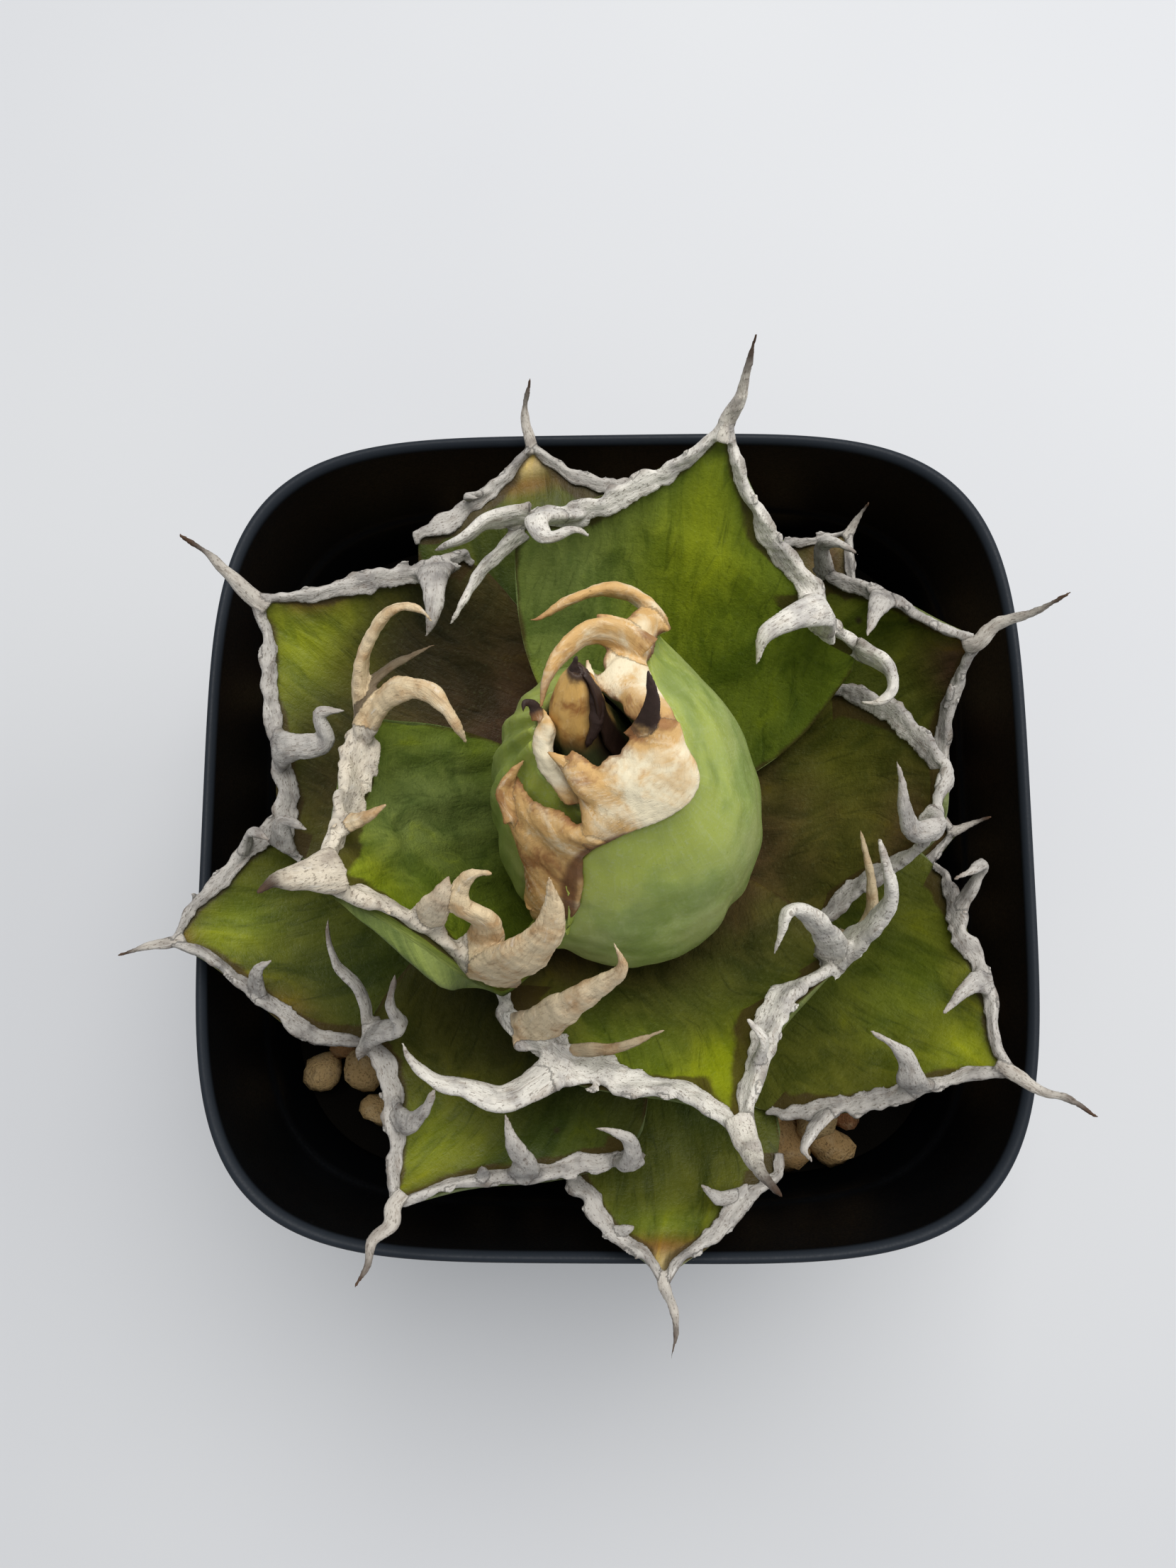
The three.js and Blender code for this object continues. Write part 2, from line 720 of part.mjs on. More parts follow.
// One horny strip along a margin, from its start to the apex.
function stripAlong(leaf, shape, side, grow) {
  const sign = side === "left" ? 1 : -1;
  const start = leaf.hornFrom[side];
  const rings = [];
  for (let k = 0; k <= hornSteps; k += 1) {
    const t = start + (1 - start) * (k / hornSteps);
    const half = shape.half(t).length();
    const width = leaf.border * Math.min(1, 0.35 + (2.5 * k) / hornSteps);
    const uIn = sign * Math.max(-0.25, 1 - (width + grow) / half);
    const uMid = sign * Math.max(-0.05, 1 - (ridgeAt * width) / half);
    const uOut = sign * (1 + grow / half);
    const n = shape.normal(sign * 0.9, t);
    rings.push([
      shape.face(uOut, t).addScaledVector(n, -hornEdge),
      shape.face(uMid, t).addScaledVector(n, hornTop + grow),
      shape.face(uIn, t).addScaledVector(n, hornInner + grow),
      shape.face(uMid, t).addScaledVector(n, -hornUnder - grow),
    ]);
  }
  return ringSolid(rings);
}

// The point of a strip's middle line that lies nearest to a given one, sunk a little.
function rootOn(leaf, shape, side, target) {
  const sign = side === "left" ? 1 : -1;
  let best = null;
  for (let t = leaf.hornFrom[side] + 0.02; t < 0.99; t += 0.01) {
    const half = shape.half(t).length();
    const u = sign * Math.max(0, 1 - (0.42 * leaf.border) / half);
    const point = shape.face(u, t).addScaledVector(shape.normal(u, t), -rootSink);
    const along = shape[side](Math.min(1, t + 0.02)).sub(shape[side](t - 0.02)).normalize();
    const distance = point.distanceTo(target);
    if (!best || distance < best.distance) best = { point, along, distance };
  }
  return best;
}

// The horny border: both strips, the terminal spine and the teeth, fused.
function borderSolid(leaf, shape, grow) {
  const pieces = [stripAlong(leaf, shape, "left", grow), stripAlong(leaf, shape, "right", grow)];
  const across = shape.half(0.93).normalize();
  const spine = [shape.centre(0.9), shape.centre(1), ...leaf.spine.map(shape.place)];
  pieces.push(hornSolid(spine, { ...spineForm, root: leaf.spineRoot, wide: across, grow }));
  for (const tooth of leaf.teeth) {
    const [first, ...rest] = tooth.path.map(shape.place);
    const { point, along } = rootOn(leaf, shape, tooth.side, first);
    pieces.push(hornSolid([point, ...rest], { root: tooth.root, wide: along, grow }));
  }
  return unite(pieces);
}

// Solids of the plant in the order in which they keep their full form: what comes later
// is cut back to a small gap where it would run into what came before.
const placed = [];

function settle(name, material, build) {
  let solid = build(0);
  const grown = build(gap).add(solid);
  for (const other of placed) {
    if (solid.intersect(other.grown).volume() > clashVolume) solid = largest(solid.subtract(other.grown));
  }
  placed.push({ name, material, solid, grown });
}

// The short stem, from inside the granules to the foot of the bud
const stemProfile = [[0, -52], [6, -52], [8.5, -36], [10, -26], [9.5, -12], [7.5, -6], [6, 0], [0, 0]];

function stemSolid(grow) {
  const profile = stemProfile.map(([r, z], k) => {
    const end = k < 2 ? -grow : k >= stemProfile.length - 2 ? grow : 0;
    return new THREE.Vector2(r > 0 ? r + grow : 0, z + end);
  });
  const turnedUp = new THREE.LatheGeometry(profile, stemSides).rotateX(Math.PI / 2);
  return solidOf(turnedUp);
}

// The bud: three leaves furled round one another. Rings at fixed heights give its belly.
const budX = 1;
const budY = -1;
const bellyRadius = (angle) => 18.1 - 1.2 * Math.cos(2 * angle);

const ringPoint = (degrees, scale, inset, z) => {
  const angle = THREE.MathUtils.degToRad(degrees);
  const radius = scale * bellyRadius(angle) - inset;
  return new THREE.Vector3(budX + radius * Math.cos(angle), budY + radius * Math.sin(angle), z);
};

// A furled leaf's outer face: u goes round it, v from its foot over the belly to its lip.
function furledFace({ lip, bearings, foot, footRadius, inset, bulge }) {
  const lipCurve = new THREE.CatmullRomCurve3(lip.map((p) => new THREE.Vector3(...p)));
  const bearingCurve = new THREE.SplineCurve(bearings.map((b, k) => new THREE.Vector2(k, b)));
  return (u, v) => {
    const bearing = bearingCurve.getPoint(u).y;
    const angle = THREE.MathUtils.degToRad(bearing);
    const out = new THREE.Vector3(Math.cos(angle), Math.sin(angle), 0);
    const belly = ringPoint(bearing, 1, inset(bearing), 17);
    const top = lipCurve.getPoint(u);
    const shoulder = belly.clone().lerp(top, 0.5).addScaledVector(out, bulge);
    const column = new THREE.CatmullRomCurve3([
      new THREE.Vector3(budX, budY, foot).addScaledVector(out, footRadius),
      ringPoint(bearing, 0.8, inset(bearing), 4),
      belly,
      shoulder,
      top,
    ]);
    return column.getPoint(v);
  };
}

const outerLeaf = {
  lip: [[-8.5, -13.5, 27], [-6, -14, 31], [-5, -9.5, 38], [-2.7, -7.4, 42], [0.1, -6.2, 44], [3.7, -5.1, 45],
    [6.7, -3.6, 46], [7.9, -0.8, 47], [6.9, 2.2, 47.5], [6, 5.1, 48], [4.2, 8.5, 47.5], [3.4, 12.5, 45],
    [4.3, 16, 41], [5.5, 18.1, 36]],
  bearings: [-132, -120, -112, -104, -92, -68, -40, -10, 18, 38, 55, 68, 80, 92],
  foot: -8,
  footRadius: 9.5,
  inset: () => 0,
  bulge: 2.6,
};

const secondLeaf = {
  lip: [[-9.3, 3.7, 45.5], [-8.6, 1.1, 44.5], [-7, -1, 43.5], [-4.5, -3.3, 41], [-0.5, -4, 40], [3, -3, 40],
    [5, -0.5, 41], [4.6, 2.2, 42], [3.4, 5.2, 42], [1, 8.5, 42], [-3, 11.5, 42], [-7, 9.5, 44],
    [-9, 6.5, 46], [-9.3, 3.7, 45.5]],
  bearings: [180, 196, 212, 232, 256, 282, 308, 335, 362, 390, 425, 465, 505, 540],
  foot: -4.5,
  footRadius: 8,
  inset: (bearing) => {
    const off = Math.abs(((bearing + 17 + 540) % 360) - 180);
    return 0.4 + 4.6 * THREE.MathUtils.clamp((124 - off) / 24, 0, 1);
  },
  bulge: 2.4,
};

// A furled leaf as a shell: its inner face is its outer one moved in by a thickness.
function shellFaces(face, foot, lip, grow) {
  const e = 0.01;
  const inward = (u, v) => {
    const along = face(u, Math.min(1, v + e)).sub(face(u, Math.max(0, v - e)));
    const round = face(Math.min(1, u + e), v).sub(face(Math.max(0, u - e), v));
    return along.cross(round).normalize();
  };
  const thick = (v) => foot + (lip - foot) * v;
  const outside = (u, v) => face(u, v).addScaledVector(inward(u, v), -grow);
  const inside = (u, v) => face(u, v).addScaledVector(inward(u, v), thick(v) + grow);
  return [outside, inside];
}

function outerLeafSolid(grow) {
  const [outside, inside] = shellFaces(furledFace(outerLeaf), 3.6, 1.3, grow);
  return sheetSolid(outside, inside, furledColumns, furledRows);
}

// The second leaf closes on itself, so its rings run up the outside and down the inside.
function secondLeafSolid(grow) {
  const face = furledFace(secondLeaf);
  const [outside, inside] = shellFaces(face, 2.4, 1.2, grow);
  const [around, up] = [secondColumns, furledRows];
  const loops = [];
  for (let j = 0; j < around; j += 1) {
    const loop = [];
    for (let i = 0; i <= up; i += 1) loop.push(outside(j / around, i / up));
    for (let i = up; i >= 0; i -= 1) loop.push(inside(j / around, i / up));
    loops.push(loop);
  }
  return torusSolid(loops);
}

// A skin that closes both ways: along each loop and from the last loop to the first.
function torusSolid(loops) {
  const positions = [];
  const triangle = (a, b, c) => positions.push(...a.toArray(), ...b.toArray(), ...c.toArray());
  const sides = loops[0].length;
  for (let k = 0; k < loops.length; k += 1) {
    const next = loops[(k + 1) % loops.length];
    for (let j = 0; j < sides; j += 1) {
      const side = (j + 1) % sides;
      triangle(loops[k][j], loops[k][side], next[side]);
      triangle(loops[k][j], next[side], next[j]);
    }
  }
  const geometry = new THREE.BufferGeometry();
  geometry.setAttribute("position", new THREE.Float32BufferAttribute(positions, 3));
  const solid = solidOf(geometry);
  return solid.volume() < 0 ? solidOf(turned(geometry)) : solid;
}

// The innermost leaf: a leaning cone with a dark spine
const innerCentres = [[1, -1, 0.35], [1, -1, 6], [0.5, 0, 20], [-1, 2.5, 33], [-2.5, 5, 42], [-3.8, 7.6, 48],
  [-4.2, 9, 50.5]];
const innerSpineRoot = 1.2;
const innerRadii = [4.5, 7, 9.5, 6.8, 4.2, 2.4, 1];

function innerLeafSolid(grow) {
  const rings = innerCentres.map(([x, y, z], k) => {
    const ring = [];
    for (let j = 0; j < innerSides; j += 1) {
      const angle = (2 * Math.PI * j) / innerSides;
      const radius = innerRadii[k] + grow;
      ring.push(new THREE.Vector3(x + radius * Math.cos(angle), y + radius * Math.sin(angle), z));
    }
    return ring;
  });
  const spine = [[-4, 8.4, 49], [-4.3, 10, 51.5], [-4.2, 11, 53]].map((p) => new THREE.Vector3(...p));
  const form = { root: innerSpineRoot, tip: spineTip, broad: 1, steps: 3, wide: new THREE.Vector3(1, 0, 0) };
  return ringSolid(rings).add(hornSolid(spine, { ...form, grow }));
}

// The outer bud leaf's dried margin: a papery plate turned in over the mouth, the
// terminal spine and three long teeth.
const plate = {
  lip: [[5.8, 17.6, 37.6], [4.2, 15.6, 43], [3.2, 12.4, 46.6], [3.9, 8.4, 49.2], [5.6, 5, 49.7],
    [6.5, 2.1, 49.2], [7.4, -0.8, 48.6], [6.3, -3.4, 47.6], [3.5, -4.8, 46.7], [0.1, -5.9, 45.6],
    [-2.7, -7.2, 43.8], [-5, -9.3, 39.8], [-6.2, -13.6, 32.8], [-7.6, -14.6, 29]],
  edge: [[2.5, 19.4, 40], [0.5, 15.8, 46.5], [-1, 11, 47], [0.5, 7.4, 48.5], [1.2, 4.6, 49], [-0.5, 2.6, 49],
    [-3, 1, 48.8], [-5.4, 1.4, 48.2], [-4.2, -1.2, 47.2], [-3.6, -4.6, 46], [-6.4, -3.4, 44.6],
    [-10.8, -2.4, 42.5], [-12.8, -7, 38.5], [-12.4, -12.4, 31.5]],
};
const plateThick = 1;
const plateArch = 0.6;
const plateRows = 15;
const budToothBreadth = 1.3;

function plateSolid(grow) {
  const outer = new THREE.CatmullRomCurve3(plate.lip.map((p) => new THREE.Vector3(...p)));
  const inner = new THREE.CatmullRomCurve3(plate.edge.map((p) => new THREE.Vector3(...p)));
  const face = (u, v) => {
    const arch = new THREE.Vector3(0, 0, 4 * plateArch * u * (1 - u));
    return outer.getPoint(v).lerp(inner.getPoint(v), u).add(arch);
  };
  const upper = (u, v) => face(u, v).add(new THREE.Vector3(0, 0, grow));
  const lower = (u, v) => face(u, v).add(new THREE.Vector3(0, 0, -plateThick - grow));
  return sheetSolid(upper, lower, 2, plateRows);
}

const budTeeth = [
  { root: 1.3, path: [[2.6, 4.2, 48.9], [3, 5.8, 52], [3, 7.6, 55.5]] },
  {
    root: 1.4,
    path: [[4.4, 18, 38.6], [2.5, 20, 41], [-1.6, 21, 42.5], [-5.7, 19.5, 43.5], [-9.8, 17.3, 43.5]],
  },
  {
    root: 1.6,
    path: [[1.2, 12, 46.9], [-2.5, 15.3, 47.8], [-6.3, 12.3, 49], [-8, 8.9, 48.6], [-8.2, 6.9, 47.6]],
  },
  { root: 1, path: [[-9.4, -4, 42.2], [-12.2, -0.4, 42.6], [-11, 2.1, 43.5]] },
];

function outerBorderSolid(grow) {
  const pieces = [plateSolid(grow)];
  for (const { root, path } of budTeeth) {
    const points = path.map((p) => new THREE.Vector3(...p));
    const form = { root, tip: spineTip, broad: budToothBreadth, wide: new THREE.Vector3(1, 0, 0) };
    pieces.push(hornSolid(points, { ...form, grow }));
  }
  return unite(pieces);
}

settle("stem", stemBrown, stemSolid);
settle("bud_second_leaf", youngGreen, secondLeafSolid);
settle("bud_inner_leaf", budAmber, innerLeafSolid);
settle("bud_outer_leaf", youngGreen, outerLeafSolid);
settle("bud_outer_border", driedHorn, outerBorderSolid);

// Leaves from this one outward have the dull green of old age.
const firstOldLeaf = 5;
const shapes = leaves.map(leafShape);
leaves.forEach((leaf, k) => {
  settle(`${leaf.name}_border`, horn, (grow) => borderSolid(leaf, shapes[k], grow));
  const bladeFinish = leaf.young ? youngGreen : k < firstOldLeaf ? leafGreen : oldGreen;
  settle(`${leaf.name}_blade`, bladeFinish, (grow) => bladeSolid(leaf, shapes[k], grow));
});

const plant = new THREE.Group();
for (const { name, material, solid } of placed) plant.add(meshOf(name, solid, material));
plant.position.set(plantX, plantY, potHeight);

// The pot and its filling are round lathe forms drawn out to a rounded square, with their
// corners crowded so that the rounding keeps its form.
function squared(profile) {
  const points = profile.map(([r, z]) => new THREE.Vector2(r, z));
  const geometry = new THREE.LatheGeometry(points, potSegments).rotateX(Math.PI / 2);
  const p = geometry.attributes.position;
  for (let i = 0; i < p.count; i += 1) {
    const radius = Math.hypot(p.getX(i), p.getY(i));
    const even = Math.atan2(p.getY(i), p.getX(i));
    const angle = even + cornerCrowding * Math.sin(4 * even);
    const sum = Math.abs(Math.cos(angle)) ** squareness + Math.abs(Math.sin(angle)) ** squareness;
    const reach = radius * sum ** (-1 / squareness);
    p.setXY(i, reach * Math.cos(angle), reach * Math.sin(angle));
  }
  return solidOf(geometry);
}

const ledgeZ = potHeight - ledgeDepth;
const innerFoot = footHalf - wall;

const potProfile = [
  [0, 0],
  [footHalf - footBevel, 0],
  [footHalf, footBevel],
  [ledgeHalf - ledgeStep + wall, ledgeZ - 2],
  [ledgeHalf + wall, ledgeZ + ledgeRound],
  [rimHalf - rimBevel, potHeight - skirtFoot],
  [rimHalf, potHeight - skirtTop],
  [rimHalf, potHeight - rimBevel],
  [rimHalf - 0.6, potHeight],
  [rimHalf - lipWidth, potHeight - lipDrop],
  [ledgeHalf, ledgeZ + 0.3],
  [ledgeHalf - ledgeStep, ledgeZ - ledgeRound],
  [innerFoot, floorThick + footBevel],
  [innerFoot - footBevel, floorThick],
  [0, floorThick],
];

function potSolid() {
  let pot = squared(potProfile);
  for (let k = 0; k < 4; k += 1) {
    const angle = Math.PI / 4 + (k * Math.PI) / 2;
    const drain = new THREE.CylinderGeometry(drainRadius, drainRadius, 4 * floorThick, drainSides);
    drain.rotateX(Math.PI / 2);
    drain.translate(drainCircle * Math.cos(angle), drainCircle * Math.sin(angle), 0);
    pot = pot.subtract(solidOf(drain));
  }
  return pot;
}

// Repeatable random numbers for the granules
let state = 7;
function random() {
  state = (state * 16807) % 2147483647;
  return state / 2147483647;
}

const soilTop = potHeight - soilDepth;

function soilSolid() {
  const slope = (ledgeHalf - ledgeStep - innerFoot) / (ledgeZ - ledgeRound - floorThick - footBevel);
  const topHalf = innerFoot + slope * (soilTop - floorThick - footBevel) - gap;
  const profile = [
    [0, floorThick + gap],
    [innerFoot - footBevel - gap, floorThick + gap],
    [innerFoot - gap, floorThick + footBevel + gap],
    [topHalf, soilTop],
    [0, soilTop],
  ];
  let soil = squared(profile);
  const reach = topHalf - granuleSize - clearOfPot;
  const rows = Math.floor(reach / granulePitch);
  for (let i = -rows; i <= rows; i += 1) {
    for (let j = -rows; j <= rows; j += 1) {
      const x = i * granulePitch + granuleScatter * (random() - 0.5);
      const y = j * granulePitch + granuleScatter * (random() - 0.5);
      const size = granuleSize * (0.85 + 0.3 * random());
      const square = (Math.abs(x) ** squareness + Math.abs(y) ** squareness) ** (1 / squareness);
      if (square > reach || Math.hypot(x - plantX, y - plantY) < clearOfStem) continue;
      const granule = new THREE.IcosahedronGeometry(size, 0);
      granule.rotateX(granuleTurns * random());
      granule.rotateY(granuleTurns * random());
      granule.scale(1, granuleDepth, granuleHeight);
      granule.rotateZ(granuleTurns * random());
      granule.translate(x, y, soilTop + granuleHeights * (random() - 0.5));
      soil = soil.add(solidOf(granule));
    }
  }
  const hole = stemSolid(stemHoleGap).translate([plantX, plantY, potHeight]);
  return largest(soil.subtract(hole));
}

const part = new THREE.Group();
part.add(plant);
part.add(meshOf("soil", soilSolid(), granuleTan));
part.add(meshOf("pot", potSolid(), potBlack));

export default part;
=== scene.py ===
# The looks of a potted agave: a rosette of thick leaves with wavy horny borders round a furled
# bud, in a square plastic pot of clay granules. Shapes are worked out in millimetres in the
# plant's or the pot's frame and put into the meshes in metres.
import math

import bmesh
import bpy
import numpy as np
from numpy.linalg import norm
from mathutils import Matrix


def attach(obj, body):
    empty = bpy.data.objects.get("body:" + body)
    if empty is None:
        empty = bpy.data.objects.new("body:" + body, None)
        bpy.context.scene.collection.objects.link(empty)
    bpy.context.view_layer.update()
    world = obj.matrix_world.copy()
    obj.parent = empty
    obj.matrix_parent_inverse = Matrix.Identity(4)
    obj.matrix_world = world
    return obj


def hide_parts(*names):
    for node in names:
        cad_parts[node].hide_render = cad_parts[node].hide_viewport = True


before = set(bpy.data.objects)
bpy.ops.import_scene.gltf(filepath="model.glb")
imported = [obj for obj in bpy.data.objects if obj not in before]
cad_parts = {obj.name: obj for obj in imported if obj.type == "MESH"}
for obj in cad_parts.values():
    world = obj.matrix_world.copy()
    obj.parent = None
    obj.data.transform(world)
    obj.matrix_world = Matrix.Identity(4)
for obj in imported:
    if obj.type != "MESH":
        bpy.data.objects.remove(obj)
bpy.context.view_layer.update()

MM = 0.001
# The plant's frame: its axis stands a little off the pot's, and its height counts from the rim.
PLANT = np.array([1.0, 1.0, 105.0])

# Colours, linear
FRESH = (0.172, 0.225, 0.016)
YELLOW = (0.24, 0.275, 0.006)
# painted shade: dark green laid on the blades deep in the rosette and between the leaves
SHADED_GREEN = (0.045, 0.068, 0.012)
OLIVE = (0.1, 0.102, 0.012)
PURPLE = (0.088, 0.042, 0.027)
RUST = (0.23, 0.085, 0.02)
STRAW = (0.62, 0.46, 0.22)
# painted shade: near black laid on the blades where they lie deepest in shadow
BLOOM = (0.24, 0.29, 0.12)
SHADOW_BLACK = (0.016, 0.011, 0.009)

